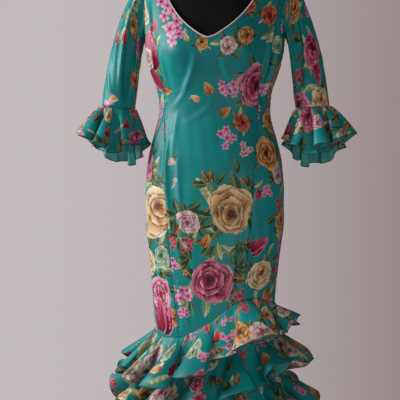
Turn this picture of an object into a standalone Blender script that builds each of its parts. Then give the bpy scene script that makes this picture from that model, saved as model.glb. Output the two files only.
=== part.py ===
"""A flamenco dress worn by a limbless dress form on a stand, in metres, +Z up, front towards -Y.

The dress is cut with princess seams: a front panel, two side fronts, two side backs and two back panels that
meet at a centre-back zip. Four wavy flounces are sewn round a flared underskirt below the knee, and each is
higher on the wearer's left (+X). Elbow-length sleeves end in a wavy cuff flounce. A binding edges the neck.

Every panel is laid out on one body surface by an angle round the body (0 at the front, 90 degrees at the
wearer's left, 180 at the back) and a height, then thickened inwards into a wall.
"""

import math

import bmesh
import bpy
import numpy as np
from mathutils import Matrix, Vector

# Cloth
WALL = 0.0015
SEAM_GAP = 0.0004
SEAM_ANGLE = 0.0015
CENTRE_BACK_ANGLE = 0.0006
SHOULDER_SEAM_ANGLE = 0.004

# Body surface that the dress hangs on: a row for each height, with its half width and its depths to the front
# and to the back. The rows over the shoulder carry on up the neck of the form.
BODY_COLUMNS = ("height", "half_width", "front_depth", "back_depth")
BODY = (
    (0.030, 0.205, 0.195, 0.200),
    (0.150, 0.190, 0.175, 0.180),
    (0.300, 0.174, 0.155, 0.158),
    (0.450, 0.162, 0.140, 0.142),
    (0.550, 0.167, 0.138, 0.140),
    (0.650, 0.176, 0.139, 0.143),
    (0.740, 0.186, 0.139, 0.149),
    (0.820, 0.1875, 0.136, 0.153),
    (0.900, 0.182, 0.130, 0.146),
    (0.960, 0.169, 0.121, 0.128),
    (1.000, 0.157, 0.113, 0.111),
    (1.043, 0.1485, 0.107, 0.097),
    (1.080, 0.151, 0.108, 0.095),
    (1.120, 0.163, 0.113, 0.100),
    (1.160, 0.176, 0.118, 0.106),
    (1.200, 0.184, 0.119, 0.110),
    (1.240, 0.188, 0.114, 0.112),
    (1.280, 0.191, 0.104, 0.110),
    (1.320, 0.194, 0.091, 0.103),
    (1.355, 0.194, 0.077, 0.090),
    (1.380, 0.188, 0.065, 0.076),
    (1.395, 0.176, 0.058, 0.067),
    (1.405, 0.152, 0.054, 0.061),
    (1.415, 0.120, 0.051, 0.057),
    (1.425, 0.092, 0.051, 0.055),
    (1.440, 0.068, 0.051, 0.054),
    (1.460, 0.059, 0.050, 0.053),
    (1.500, 0.056, 0.049, 0.052),
)
SQUARENESS = 0.9

# Bust: the cloth is shaped over two cups by the princess seams and bridges between them.
BUST_HEIGHT = 1.205
BUST_APART = 0.075
BUST_SPREAD = 0.060
BUST_FULLNESS = 0.030
BUST_ABOVE = 0.075
BUST_BELOW = 0.052
BRIDGE_DIP = 0.25

# Princess seams: height, angle of the front one, angle of the back one.
PRINCESS = (
    (0.42, 25, 150),
    (0.55, 30, 149),
    (0.68, 33, 148),
    (0.80, 35, 147),
    (0.93, 40, 146),
    (0.985, 47, 147),
    (1.043, 54, 148),
    (1.09, 52, 147),
    (1.14, 49, 144),
    (1.20, 48, 138),
    (1.25, 54, 128),
    (1.285, 60, 119),
    (1.32, 66, 112),
    (1.35, 71, 109),
)
PRINCESS_TOP = 1.35

# Neckline as half widths at heights: the front V, and the back scoop.
V_POINT = 1.225
FRONT_NECK = (
    (0.000, 1.225),
    (0.017, 1.231),
    (0.0335, 1.241),
    (0.054, 1.256),
    (0.076, 1.276),
    (0.098, 1.303),
    (0.116, 1.334),
    (0.1255, 1.370),
    (0.128, 1.4122),
)
BACK_NECK = (
    (0.000, 1.372),
    (0.045, 1.375),
    (0.085, 1.385),
    (0.113, 1.399),
    (0.128, 1.4122),
)

# Armhole: angle and height of its front edge, from the shoulder point down to the underarm.
ARMHOLE_FRONT = (
    (90, 1.393),
    (80, 1.380),
    (73, 1.366),
    (71, 1.350),
    (70.5, 1.320),
    (72, 1.280),
    (79, 1.245),
    (90, 1.228),
)
PRINCESS_MEETS_ARMHOLE = 3 / (len(ARMHOLE_FRONT) - 1)
ARMHOLE_INSET = 0.0012
ARMHOLE_STAND_OFF = 0.0006
SHOULDER_POINT = 1.393
UNDERARM = 1.228

# Rows of the panels, by height on the princess seams, then rows up the shoulder strap.
ROW_HEIGHTS = (0.60, 0.70, 0.80, 0.885, 0.965, 1.043, 1.10, 1.155, 1.195, 1.225, 1.265, 1.31, 1.35)
STRAP_ROWS = 7
FRONT_COLUMNS = 7
SIDE_COLUMNS = 5
BACK_COLUMNS = 6

# Flounces: the lowest and highest point of the seam, how far the cloth flares out and drops down, the height,
# lift and lean of a wave at the hem, and the angles round the body of the ridges of the waves.
TIER_COLUMNS = ("name", "low", "high", "flare", "drop", "wave", "lift", "lean", "ridges")
TIERS = (
    (
        "tier1", 0.442, 0.552, 0.068, 0.103, 0.034, 0.015, 0.013,
        (-165, -134, -104, -78, -51, -26, -2, 32, 67, 99, 130, 163),
    ),
    (
        "tier2", 0.349, 0.460, 0.078, 0.096, 0.031, 0.015, 0.013,
        (-175, -146, -113, -86, -57, -31, -5, 21, 49, 80, 112, 149),
    ),
    (
        "tier3", 0.256, 0.343, 0.086, 0.098, 0.032, 0.015, 0.013,
        (-163, -134, -110, -80, -55, -26, 0, 24, 54, 83, 107, 138, 166),
    ),
    (
        "tier4", 0.163, 0.222, 0.096, 0.106, 0.033, 0.016, 0.012,
        (-170, -146, -119, -95, -66, -41, -15, 11, 34, 62, 87, 111, 137, 164),
    ),
)
SAMPLES_PER_WAVE = 8
TIER_ROWS = (0.0, 0.5, 1.0)

# Share of the climb from the lowest to the highest point of a flounce seam, by angle round the body: for the
# first flounce, and for those below it.
FIRST_CLIMB = (
    (-180, 0.38), (-140, 0.14), (-100, 0.0), (-60, 0.0), (-25, 0.06), (0, 0.42), (15, 0.76), (27, 0.95),
    (40, 1.0), (65, 0.86), (90, 0.70), (120, 0.60), (150, 0.50), (180, 0.38),
)
LOWER_CLIMB = (
    (-180, 0.38), (-140, 0.14), (-100, 0.0), (-60, 0.0), (-25, 0.05), (0, 0.32), (20, 0.62), (40, 0.85),
    (65, 1.0), (90, 0.97), (120, 0.80), (150, 0.58), (180, 0.38),
)
# The first flounce stands out further over the wearer's left front and lies close over the left side.
FIRST_TIER_REACH = (
    (-180, 1.1), (-110, 1.05), (-85, 1.0), (0, 1.0), (15, 1.05), (30, 1.12), (48, 1.0), (64, 0.7), (78, 0.45),
    (95, 0.45), (112, 0.66), (130, 1.0), (180, 1.1),
)
FIRST_TIER_DROP = (
    (-180, 0.86), (-110, 0.92), (-85, 1.0), (0, 1.0), (15, 0.9), (30, 0.8), (48, 0.72), (64, 0.62), (78, 0.56),
    (95, 0.56), (112, 0.62), (130, 0.72), (180, 0.86),
)
QUARTERS = (("front", -45, 45), ("left", 45, 135), ("back", 135, 225), ("right", 225, 315))
FLOUNCE_STAND_OFF = WALL + 0.0008
FLOUNCE_OVERLAP = 0.002
WIDEST_WAVE = 1.15
UNDERSKIRT_BELOW_LAST_SEAM = 0.070
UNDERSKIRT_GAP = 0.0025
UNDERSKIRT_COLUMNS = 9
UNDERSKIRT_ROWS = 8

# Sleeve and cuff flounce, on the wearer's left; the right is its mirror image.
CUFF_CENTRE = Vector((0.261, -0.010, 1.052))
CUFF_HALF_WIDTH = 0.045
CUFF_HALF_DEPTH = 0.048
CUFF_TILT = math.radians(5)
SLEEVE_COLUMNS = 20
SLEEVE_ROWS = 8
# How the sleeve leaves the armhole and arrives at the cuff seam, below the arm and how much more above it.
LEAVE_OUT, LEAVE_OUT_ABOVE = 0.045, 0.115
LEAVE_DOWN, LEAVE_UP_ABOVE = 0.060, 0.055
LEAVE_FORWARD = 0.030
ARRIVE_OUT, ARRIVE_OUT_ABOVE = 0.020, 0.012
ARRIVE_DOWN, ARRIVE_DOWN_ABOVE = 0.150, 0.230
ARRIVE_FORWARD = 0.004
# The crease at the front of the bent arm and the hollow behind it: turn round the sleeve, width, depth.
SLEEVE_CREASE = (2.05, 0.30, 0.014)
SLEEVE_HOLLOW = (4.30, 0.35, -0.009)
CUFF_WAVES = 9
CUFF_WAVE = 0.019
CUFF_LEAN = 0.007
CUFF_LIFT = 0.012
CUFF_FLARE, CUFF_FLARE_OUTSIDE, CUFF_FLARE_AHEAD, CUFF_FLARE_INSIDE = 0.034, 0.008, 0.006, -0.008
CUFF_DROP, CUFF_DROP_AT_SIDES, CUFF_DROP_IN_FRONT = 0.135, -0.045, -0.025
CUFF_ROWS = (0.0, 0.45, 1.0)

# Neck binding
BINDING_RADIUS = 0.0019
BINDING_SIDES = 6

# Dress form and stand
FORM_INSIDE = ((0.70, 0.0055), (1.30, 0.0055), (1.375, 0.0043), (1.50, 0.0043))
FORM_BOTTOM = 0.700
FORM_TOP = 1.500
FORM_HEIGHTS = (
    (FORM_BOTTOM, 0.76, 0.82, 0.88, 0.94, 0.99, 1.043, 1.09, 1.14, 1.18, 1.215, 1.25, 1.29, 1.33, 1.36, 1.382)
    + (1.396, 1.405, 1.4135, 1.423, 1.437, 1.46, FORM_TOP)
)
FORM_COLUMNS = 28
FORM_FIRST_TURN = 0.02
CAP_RADIUS = 0.050
CAP_HEIGHT = 0.022
CAP_BAND = 0.004
COLLAR_RADIUS = 0.034
COLLAR_HEIGHT = 0.030
COLLAR_BAND = 0.008
COLLAR_FOOT = 0.006
POLE_RADIUS = 0.0125
BASE_RADIUS = 0.155
BASE_HEIGHT = 0.016
BASE_RIM = 0.008
BASE_SHOULDER = (0.006, 0.012)
BASE_MIDDLE_RADIUS = 0.030
REST_GAP = 0.0003

# Zip pull at the back neck, between the two top rows of the back panels
ZIP_PLACE = 0.70
SLIDER_LENGTH = 0.010
SLIDER_WIDTH = 0.0050
SLIDER_BOTTOM = 0.0004
SLIDER_TOP = 0.0011
ARCH_ROOT = 0.0003
PIVOT_OUT = 0.0022
PULL_THICKNESS = 0.0010
PULL_LENGTH = 0.022
PULL_WIDTH = 0.0062
PULL_EYE_WIDTH = 0.0030
PULL_EYE_LENGTH = 0.0042
PULL_RIM = 0.0009
EYE_CUTTER = 0.002
BRIDGE_WIDTH = 0.0018
BRIDGE_REACH = 0.0034
BRIDGE_THICKNESS = 0.0008
BRIDGE_CLEARANCE = 0.0003

SATIN = ("satin", (0.010, 0.330, 0.290, 1.0), 0.34, 0.0)
BINDING_SATIN = ("binding", (0.72, 0.52, 0.55, 1.0), 0.40, 0.0)
JERSEY = ("form_jersey", (0.012, 0.012, 0.014, 1.0), 0.85, 0.0)
STAND_METAL = ("stand_metal", (0.020, 0.020, 0.022, 1.0), 0.40, 1.0)
ZIP_METAL = ("zip_metal", (0.015, 0.270, 0.240, 1.0), 0.35, 0.6)


def smooth_table(at, places, values):
    """Reads a table between its rows on a smooth curve that never overshoots them."""
    places = np.asarray(places, float)
    values = np.asarray(values, float)
    at = np.clip(np.asarray(at, float), places[0], places[-1])
    steps = np.diff(places)
    slopes = np.diff(values) / steps
    tangents = np.zeros_like(values)
    tangents[0], tangents[-1] = slopes[0], slopes[-1]
    before, after = slopes[:-1], slopes[1:]
    heavy, light = 2 * steps[1:] + steps[:-1], steps[1:] + 2 * steps[:-1]
    same_way = before * after > 0
    safe_before = np.where(same_way, before, 1.0)
    safe_after = np.where(same_way, after, 1.0)
    tangents[1:-1] = np.where(same_way, (heavy + light) / (heavy / safe_before + light / safe_after), 0.0)
    index = np.clip(np.searchsorted(places, at, side="right") - 1, 0, len(steps) - 1)
    step = steps[index]
    share = (at - places[index]) / step
    start_weight = 2 * share**3 - 3 * share**2 + 1
    leave_weight = share**3 - 2 * share**2 + share
    arrive_weight = share**3 - share**2
    return (
        start_weight * values[index]
        + leave_weight * step * tangents[index]
        + (1 - start_weight) * values[index + 1]
        + arrive_weight * step * tangents[index + 1]
    )


def body_measure(column, height):
    """A named column of the body table at a height."""
    index = BODY_COLUMNS.index(column)
    return smooth_table(height, [row[0] for row in BODY], [row[index] for row in BODY])


def signed_power(value, power):
    return np.sign(value) * np.abs(value) ** power


def bust_shape(across, height):
    """How far the cups push the cloth forward, from 0 to 1."""
    spread = np.where(height > BUST_HEIGHT, BUST_ABOVE, BUST_BELOW)
    up_and_down = np.exp(-(((height - BUST_HEIGHT) / spread) ** 2))
    reach = np.abs(across)
    outside = np.exp(-(((reach - BUST_APART) / BUST_SPREAD) ** 2))
    bridge = 1 - BRIDGE_DIP * (1 - (np.minimum(reach, BUST_APART) / BUST_APART) ** 2) ** 2
    return up_and_down * np.where(reach > BUST_APART, outside, bridge)


def body_point(angle, height):
    """Points on the outside of the dress at angles round the body (radians) and heights."""
    angle, height = np.broadcast_arrays(np.asarray(angle, float), np.asarray(height, float))
    sideways, ahead = np.sin(angle), np.cos(angle)
    across = body_measure("half_width", height) * signed_power(sideways, SQUARENESS)
    depth = np.where(ahead > 0, body_measure("front_depth", height), body_measure("back_depth", height))
    forward = depth * signed_power(ahead, SQUARENESS)
    share = np.clip(ahead / 0.35, 0, 1)
    forward = forward + BUST_FULLNESS * bust_shape(across, height) * share * share * (3 - 2 * share)
    return np.stack([across, -forward, height], axis=-1)


def surface_normal(surface, first, second, small=1e-4):
    """Unit normals of a surface(first, second) by differences."""
    along_first = surface(first + small, second) - surface(first - small, second)
    along_second = surface(first, second + small) - surface(first, second - small)
    normal = np.cross(along_first, along_second)
    return normal / np.linalg.norm(normal, axis=-1, keepdims=True)


def round_the_body(table, angle):
    """Reads a table of (degrees, value) at an angle in radians, taken once round the body."""
    degrees = np.mod(np.degrees(angle) + 180, 360) - 180
    return smooth_table(degrees, [row[0] for row in table], [row[1] for row in table])


def seam_height(tier, angle):
    """Height of a flounce seam, which climbs across the front from the wearer's right to the left."""
    low, high = tier[TIER_COLUMNS.index("low")], tier[TIER_COLUMNS.index("high")]
    climb = FIRST_CLIMB if tier is TIERS[0] else LOWER_CLIMB
    return low + (high - low) * round_the_body(climb, angle)


def first_seam(angle):
    return seam_height(TIERS[0], angle)


def princess_angle(height, side):
    """Angle (radians) of the princess seam at a height; side is 1 for the front one, 2 for the back one."""
    return np.radians(smooth_table(height, [row[0] for row in PRINCESS], [row[side] for row in PRINCESS]))


def neck_path(table, count, in_front):
    """Points (angle, height) along a neckline table, evenly spaced on the body, up to the shoulder seam."""
    across, height = np.array(table).T
    walked = np.concatenate([[0], np.cumsum(np.hypot(np.diff(across), np.diff(height)))])
    at = np.linspace(0, walked[-1], 200)
    across, height = smooth_table(at, walked, across), smooth_table(at, walked, height)
    share = np.clip(across / body_measure("half_width", height), 0, 1)
    angle = np.arcsin(share ** (1 / SQUARENESS))
    angle[-1] = math.pi / 2
    angle = angle if in_front else math.pi - angle
    steps = np.linalg.norm(np.diff(body_point(angle, height), axis=0), axis=1)
    walked = np.concatenate([[0], np.cumsum(steps)])
    at = np.linspace(0, walked[-1], count)
    angle, height = np.interp(at, walked, angle), np.interp(at, walked, height)
    angle[-1] += -SHOULDER_SEAM_ANGLE if in_front else SHOULDER_SEAM_ANGLE
    return angle, height


def armhole_path(places):
    """Angle and height of the armhole's front edge, from place 0, the shoulder point, to 1, the underarm."""
    rows = np.array(ARMHOLE_FRONT, float)
    steps = np.linspace(0, 1, len(rows))
    return np.radians(smooth_table(places, steps, rows[:, 0])), smooth_table(places, steps, rows[:, 1])


def strap_edge():
    """The armhole edge of the shoulder strap, from the top of the princess seam up to the shoulder point."""
    return armhole_path(np.linspace(PRINCESS_MEETS_ARMHOLE, 0, STRAP_ROWS + 1)[1:])


def blend(first, second, share):
    return first + (second - first) * share


def grid_quads(rows, columns, closed=False):
    """Corner numbers of the quads of a grid whose points are stored row after row."""
    quads = []
    last = columns if closed else columns - 1
    for row in range(rows - 1):
        for column in range(last):
            beside = (column + 1) % columns
            quads.append(
                (
                    row * columns + column,
                    row * columns + beside,
                    (row + 1) * columns + beside,
                    (row + 1) * columns + column,
                )
            )
    return np.array(quads)


def material(look):
    """One Principled material for each look, made on first use."""
    name, colour, roughness, metallic = look
    made = bpy.data.materials.get(name)
    if made is None:
        made = bpy.data.materials.new(name)
        made.use_nodes = True
        shader = made.node_tree.nodes["Principled BSDF"]
        shader.inputs["Base Color"].default_value = colour
        shader.inputs["Roughness"].default_value = roughness
        shader.inputs["Metallic"].default_value = metallic
        made.diffuse_color = colour
    return made


def place(name, mesh, look, smooth=True):
    """Adds a mesh to the scene as the named piece."""
    piece = bpy.data.objects.new(name, mesh)
    bpy.context.scene.collection.objects.link(piece)
    mesh.materials.append(material(look))
    if smooth:
        mesh.shade_smooth()
        mesh.set_sharp_from_angle(angle=math.radians(50))
    return piece


def cloth(name, points, normals, quads, look=SATIN, thickness=WALL):
    """A cloth wall: its outside has the given points, and its inside lies a wall's thickness behind them."""
    points, normals = points.reshape(-1, 3), normals.reshape(-1, 3)
    _, first, index = np.unique(np.round(points, 7), axis=0, return_index=True, return_inverse=True)
    points, normals, quads = points[first], normals[first], index.reshape(-1)[quads]
    a, b, d = points[quads[:, 0]], points[quads[:, 1]], points[quads[:, 3]]
    facing = (np.cross(b - a, d - a) * normals[quads[:, 0]]).sum()
    if facing < 0:
        quads = quads[:, ::-1]
    a, b, c, d = (points[quads[:, corner]] for corner in range(4))
    first_shorter = np.linalg.norm(a - c, axis=1) <= np.linalg.norm(b - d, axis=1)
    split = np.where(first_shorter[:, None], quads[:, [0, 1, 2, 0, 2, 3]], quads[:, [0, 1, 3, 1, 2, 3]])
    triangles = split.reshape(-1, 3)
    edges = {}
    for triangle in triangles.tolist():
        for start, end in zip(triangle, triangle[1:] + triangle[:1]):
            edges[(start, end)] = True
    behind = len(points)
    rim = [(end, start, start + behind, end + behind) for start, end in edges if (end, start) not in edges]
    mesh = bpy.data.meshes.new(name)
    vertices = np.concatenate([points, points - normals * thickness])
    faces = triangles.tolist() + (triangles[:, ::-1] + behind).tolist() + rim
    mesh.from_pydata(vertices.tolist(), [], faces)
    mesh.update()
    return place(name, mesh, look)


def body_panel(name, angle, height, mirror=False):
    """A panel of the dress from a grid of angles and heights, or from its mirror image."""
    rows, columns = angle.shape
    if mirror:
        angle = -angle
    normals = surface_normal(body_point, angle, height)
    return cloth(name, body_point(angle, height), normals, grid_quads(rows, columns))


def row_heights(angle):
    """Heights of the panel rows at an angle, from the first flounce's seam to the top princess point."""
    return np.concatenate([[first_seam(angle) + SEAM_GAP], ROW_HEIGHTS])


def front_panel():
    """The front panel: a trunk that splits at the V into two shoulder straps."""
    below = ROW_HEIGHTS.index(V_POINT) + 2
    rows = len(ROW_HEIGHTS) + 1 + STRAP_ROWS
    neck_angle, neck_height = neck_path(FRONT_NECK, rows - below + 1, True)
    strap_angle, strap_height = strap_edge()
    halves = []
    for side in (1, -1):
        edge_height = row_heights(side * math.radians(PRINCESS[0][1]))
        edge_angle = princess_angle(edge_height, 1) - SEAM_ANGLE
        edge_height = np.concatenate([edge_height, strap_height])
        edge_angle = np.concatenate([edge_angle, strap_angle])
        edge_angle[-1] -= SHOULDER_SEAM_ANGLE
        centre_height = np.concatenate([row_heights(0.0)[:below], neck_height[1:]])
        centre_angle = np.concatenate([np.zeros(below), neck_angle[1:]])
        share = np.linspace(0, 1, FRONT_COLUMNS)
        angle = side * blend(centre_angle[:, None], edge_angle[:, None], share)
        height = blend(centre_height[:, None], edge_height[:, None], share)
        height[0] = first_seam(angle[0]) + SEAM_GAP
        halves.append((angle, height))
    quads = grid_quads(rows, FRONT_COLUMNS)
    angle = np.concatenate([half[0].ravel() for half in halves])
    height = np.concatenate([half[1].ravel() for half in halves])
    both = np.concatenate([quads, quads[:, ::-1] + rows * FRONT_COLUMNS])
    normals = surface_normal(body_point, angle, height)
    return cloth("front_panel", body_point(angle, height), normals, both)


def side_panel(name, towards_back, side):
    """A side front or side back, from the princess seam to the side seam, topped by the armhole."""
    princess = 2 if towards_back else 1
    inner_height = row_heights(side * math.radians(PRINCESS[0][princess]))
    inner_angle = princess_angle(inner_height, princess) + (-SEAM_ANGLE if towards_back else SEAM_ANGLE)
    foot = first_seam(side * math.pi / 2) + SEAM_GAP
    climbed = (inner_height - inner_height[0]) / (PRINCESS_TOP - inner_height[0])
    outer_height = blend(foot, UNDERARM, climbed)
    outer_angle = np.full_like(outer_height, math.pi / 2 + (SEAM_ANGLE if towards_back else -SEAM_ANGLE))
    share = np.linspace(0, 1, SIDE_COLUMNS)
    angle = blend(inner_angle[:, None], outer_angle[:, None], share)
    height = blend(inner_height[:, None], outer_height[:, None], share)
    top_angle, top_height = armhole_path(np.linspace(PRINCESS_MEETS_ARMHOLE, 1, SIDE_COLUMNS))
    if towards_back:
        top_angle = math.pi - top_angle
    pull = np.linspace(0, 1, len(inner_height))[:, None] ** 5
    inside = (share > 0) & (share < 1)
    angle[:, inside] += pull * (top_angle - angle[-1])[inside]
    height[:, inside] += pull * (top_height - height[-1])[inside]
    height[0] = first_seam(side * angle[0]) + SEAM_GAP
    return body_panel(name, angle, height, mirror=side < 0)


def back_panel(name, side):
    """One half of the back, from the centre-back zip to the back princess seam and up to the shoulder."""
    neck_angle, neck_height = neck_path(BACK_NECK, STRAP_ROWS + 1, False)
    strap_angle, strap_height = strap_edge()
    edge_height = row_heights(side * math.radians(PRINCESS[0][2]))
    edge_angle = princess_angle(edge_height, 2) + SEAM_ANGLE
    edge_height = np.concatenate([edge_height, strap_height])
    edge_angle = np.concatenate([edge_angle, math.pi - strap_angle])
    edge_angle[-1] += SHOULDER_SEAM_ANGLE
    centre_height = row_heights(math.pi)
    centre_height[-1] = neck_height[0]
    centre_angle = np.full_like(centre_height, math.pi - CENTRE_BACK_ANGLE)
    centre_height = np.concatenate([centre_height, neck_height[1:]])
    centre_angle = np.concatenate([centre_angle, neck_angle[1:]])
    share = np.linspace(0, 1, BACK_COLUMNS)
    angle = blend(centre_angle[:, None], edge_angle[:, None], share)
    height = blend(centre_height[:, None], edge_height[:, None], share)
    height[0] = first_seam(side * angle[0]) + SEAM_GAP
    return body_panel(name, angle, height, mirror=side < 0)


def underskirt(name, start, end):
    """One gore of the flared underskirt that the flounces are sewn to."""
    share = np.linspace(0, 1, UNDERSKIRT_COLUMNS)
    down = np.linspace(0, 1, UNDERSKIRT_ROWS)[:, None]
    angle = np.radians(start) + SEAM_ANGLE + share * (math.radians(end - start) - 2 * SEAM_ANGLE)
    angle = np.broadcast_to(angle, (UNDERSKIRT_ROWS, UNDERSKIRT_COLUMNS))
    hem = seam_height(TIERS[-1], angle) - UNDERSKIRT_BELOW_LAST_SEAM
    height = blend(first_seam(angle) - UNDERSKIRT_GAP, hem, down)
    normals = surface_normal(body_point, angle, height)
    quads = grid_quads(UNDERSKIRT_ROWS, UNDERSKIRT_COLUMNS)
    return cloth(name, body_point(angle, height), normals, quads)


def wave_angle(wave, ridges):
    """Angle round the body of a wave number, where whole numbers are the ridges."""
    count = len(ridges)
    twice_round = [angle + 360 * turn for turn in (-1, 0, 1) for angle in ridges]
    return np.radians(smooth_table(wave, np.arange(-count, 2 * count), twice_round))


def tier_surface(tier):
    """The flounce as a surface of wave number and place from the seam, 0, to the hem, 1."""
    row = dict(zip(TIER_COLUMNS, tier))
    first = tier is TIERS[0]

    def surface(wave, place):
        angle = wave_angle(wave, row["ridges"])
        phase = 2 * math.pi * wave
        root = body_point(angle, seam_height(tier, angle))
        out = np.stack([np.sin(angle), -np.cos(angle), np.zeros_like(angle)], axis=-1)
        along = np.stack([np.cos(angle), np.sin(angle), np.zeros_like(angle)], axis=-1)
        apart = wave_angle(wave + 0.5, row["ridges"]) - wave_angle(wave - 0.5, row["ridges"])
        size = np.minimum(apart * len(row["ridges"]) / (2 * math.pi), WIDEST_WAVE)
        out_share = round_the_body(FIRST_TIER_REACH, angle) if first else 1.0
        down_share = round_the_body(FIRST_TIER_DROP, angle) if first else 1.0
        ridge = np.cos(phase)
        reach = FLOUNCE_STAND_OFF + (row["flare"] + row["wave"] * size * ridge) * place * out_share
        lean = row["lean"] * size * place * np.sin(2 * phase) * out_share
        down = (row["drop"] * place**0.9 - row["lift"] * size * place * ridge) * down_share
        point = root + out * reach[..., None] + along * lean[..., None]
        point[..., 2] += FLOUNCE_OVERLAP - down
        return point

    return surface


def flounce(tier, quarter, start, end):
    """One quarter of a flounce; the seams to its neighbours run down the nearest ridges."""
    surface = tier_surface(tier)
    ridges = tier[TIER_COLUMNS.index("ridges")]
    once = [(angle, number) for number, angle in enumerate(ridges)]
    all_round = once + [(angle + 360, number + len(ridges)) for angle, number in once]
    first, last = (min(all_round, key=lambda ridge: abs(ridge[0] - edge))[1] for edge in (start, end))
    waves = np.arange(first * SAMPLES_PER_WAVE, last * SAMPLES_PER_WAVE + 1) / SAMPLES_PER_WAVE
    wave, place_down = np.meshgrid(waves, TIER_ROWS)
    gap = SEAM_ANGLE * len(ridges) / (2 * math.pi) * (1 - 0.75 * place_down[:, 0])
    wave[:, 0] += gap
    wave[:, -1] -= gap
    points = surface(wave, place_down)
    normals = surface_normal(surface, wave, np.clip(place_down, 1e-3, 1))
    outward = points[..., :2] / np.linalg.norm(points[..., :2], axis=-1, keepdims=True)
    if (normals[..., :2] * outward).sum() < 0:
        normals = -normals
    return cloth(f"{tier[0]}_{quarter}", points, normals, grid_quads(len(TIER_ROWS), len(waves)))


def cuff_ring(turn):
    """Points on the sleeve's lower edge: 0 faces away from the body, a quarter turn faces the front."""
    across = CUFF_HALF_WIDTH * np.cos(turn)
    x = CUFF_CENTRE.x + across * math.cos(CUFF_TILT)
    y = CUFF_CENTRE.y - CUFF_HALF_DEPTH * np.sin(turn)
    z = CUFF_CENTRE.z + across * math.sin(CUFF_TILT)
    return np.stack([x, y, z], axis=-1)


def armhole_ring(turn):
    """Points on the armhole: 0 is the shoulder point, a quarter turn the front, half a turn the underarm."""
    turn = np.mod(turn, 2 * math.pi)
    in_front = turn <= math.pi
    place = np.where(in_front, turn, 2 * math.pi - turn) / math.pi
    angle, height = armhole_path(place)
    angle = np.where(in_front, angle, math.pi - angle)
    point = body_point(angle, height)
    centre = np.array([0, 0, (SHOULDER_POINT + UNDERARM) / 2])
    inwards = centre - point
    inwards[..., 0] = 0
    inwards /= np.linalg.norm(inwards, axis=-1, keepdims=True)
    return point + inwards * ARMHOLE_INSET + np.array([ARMHOLE_STAND_OFF, 0, 0])


def sleeve_surface(turn, place):
    """The left sleeve by the turn round it and the place from the armhole, 0, to the cuff seam, 1."""
    top = armhole_ring(turn)
    foot = cuff_ring(turn)
    upper = (1 + np.cos(turn)) / 2
    leave = (
        LEAVE_OUT + LEAVE_OUT_ABOVE * upper,
        -LEAVE_FORWARD * np.sin(turn),
        -LEAVE_DOWN + LEAVE_UP_ABOVE * upper,
    )
    leave = np.stack(leave, axis=-1)
    arrive = (
        ARRIVE_OUT + ARRIVE_OUT_ABOVE * upper,
        np.full_like(upper, -ARRIVE_FORWARD),
        -ARRIVE_DOWN - ARRIVE_DOWN_ABOVE * upper,
    )
    arrive = np.stack(arrive, axis=-1)
    p = np.asarray(place)[..., None]
    start_weight = 2 * p**3 - 3 * p**2 + 1
    point = (
        start_weight * top
        + (p**3 - 2 * p**2 + p) * leave
        + (1 - start_weight) * foot
        + (p**3 - p**2) * arrive
    )
    for (at, width, depth), sharpness in ((SLEEVE_CREASE, 0.7), (SLEEVE_HOLLOW, 1.0)):
        across = np.exp(-(((np.mod(turn, 2 * math.pi) - at) / width) ** 2))
        point[..., 1] += depth * across * np.sin(math.pi * place) ** sharpness
    return point


def cuff_surface(wave, place):
    """The left cuff flounce as a surface of wave number and place from its seam, 0, to the hem, 1."""
    turn = 2 * math.pi * (wave + 0.12 * np.sin(2 * math.pi * wave * 2 / CUFF_WAVES + 1.0)) / CUFF_WAVES
    phase = 2 * math.pi * wave
    root = cuff_ring(turn)
    out = np.stack([np.cos(turn), -np.sin(turn), np.zeros_like(turn)], axis=-1)
    along = np.stack([-np.sin(turn), -np.cos(turn), np.zeros_like(turn)], axis=-1)
    outer, front = np.cos(turn), np.sin(turn)
    inside = np.clip(-outer, 0, 1)
    flare = CUFF_FLARE + CUFF_FLARE_OUTSIDE * outer
    flare += CUFF_FLARE_AHEAD * np.abs(front) + CUFF_FLARE_INSIDE * inside
    drop = CUFF_DROP + CUFF_DROP_AT_SIDES * outer**2 + CUFF_DROP_IN_FRONT * front
    size = 1 + 0.2 * np.sin(1.7 * turn + 0.6) - 0.45 * inside
    ridge = np.cos(phase)
    reach = flare * place**0.85 + CUFF_WAVE * size * place * ridge
    lean = CUFF_LEAN * size * place * np.sin(2 * phase)
    point = root + out * reach[..., None] + along * lean[..., None]
    point[..., 2] -= SEAM_GAP + drop * place - CUFF_LIFT * size * place * ridge
    return point


def tube(name, surface, turns, places, mirror):
    """A closed ring of cloth sampled from a surface, or its mirror image."""
    turn, place_down = np.meshgrid(turns, places)
    points = surface(turn, place_down)
    normals = surface_normal(surface, turn, np.clip(place_down, 1e-3, 1 - 1e-3))
    middle = points.mean(axis=1, keepdims=True)
    if (normals * (points - middle)).sum() < 0:
        normals = -normals
    if mirror:
        points, normals = points * (-1, 1, 1), normals * (-1, 1, 1)
    return cloth(name, points, normals, grid_quads(len(places), len(turns), closed=True))


def sleeve(name, mirror):
    turns = np.linspace(0, 2 * math.pi, SLEEVE_COLUMNS, endpoint=False)
    return tube(name, sleeve_surface, turns, np.linspace(0, 1, SLEEVE_ROWS + 1), mirror)


def cuff_flounce(name, mirror):
    waves = np.arange(CUFF_WAVES * SAMPLES_PER_WAVE) / SAMPLES_PER_WAVE
    return tube(name, cuff_surface, waves, np.array(CUFF_ROWS), mirror)


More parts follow.
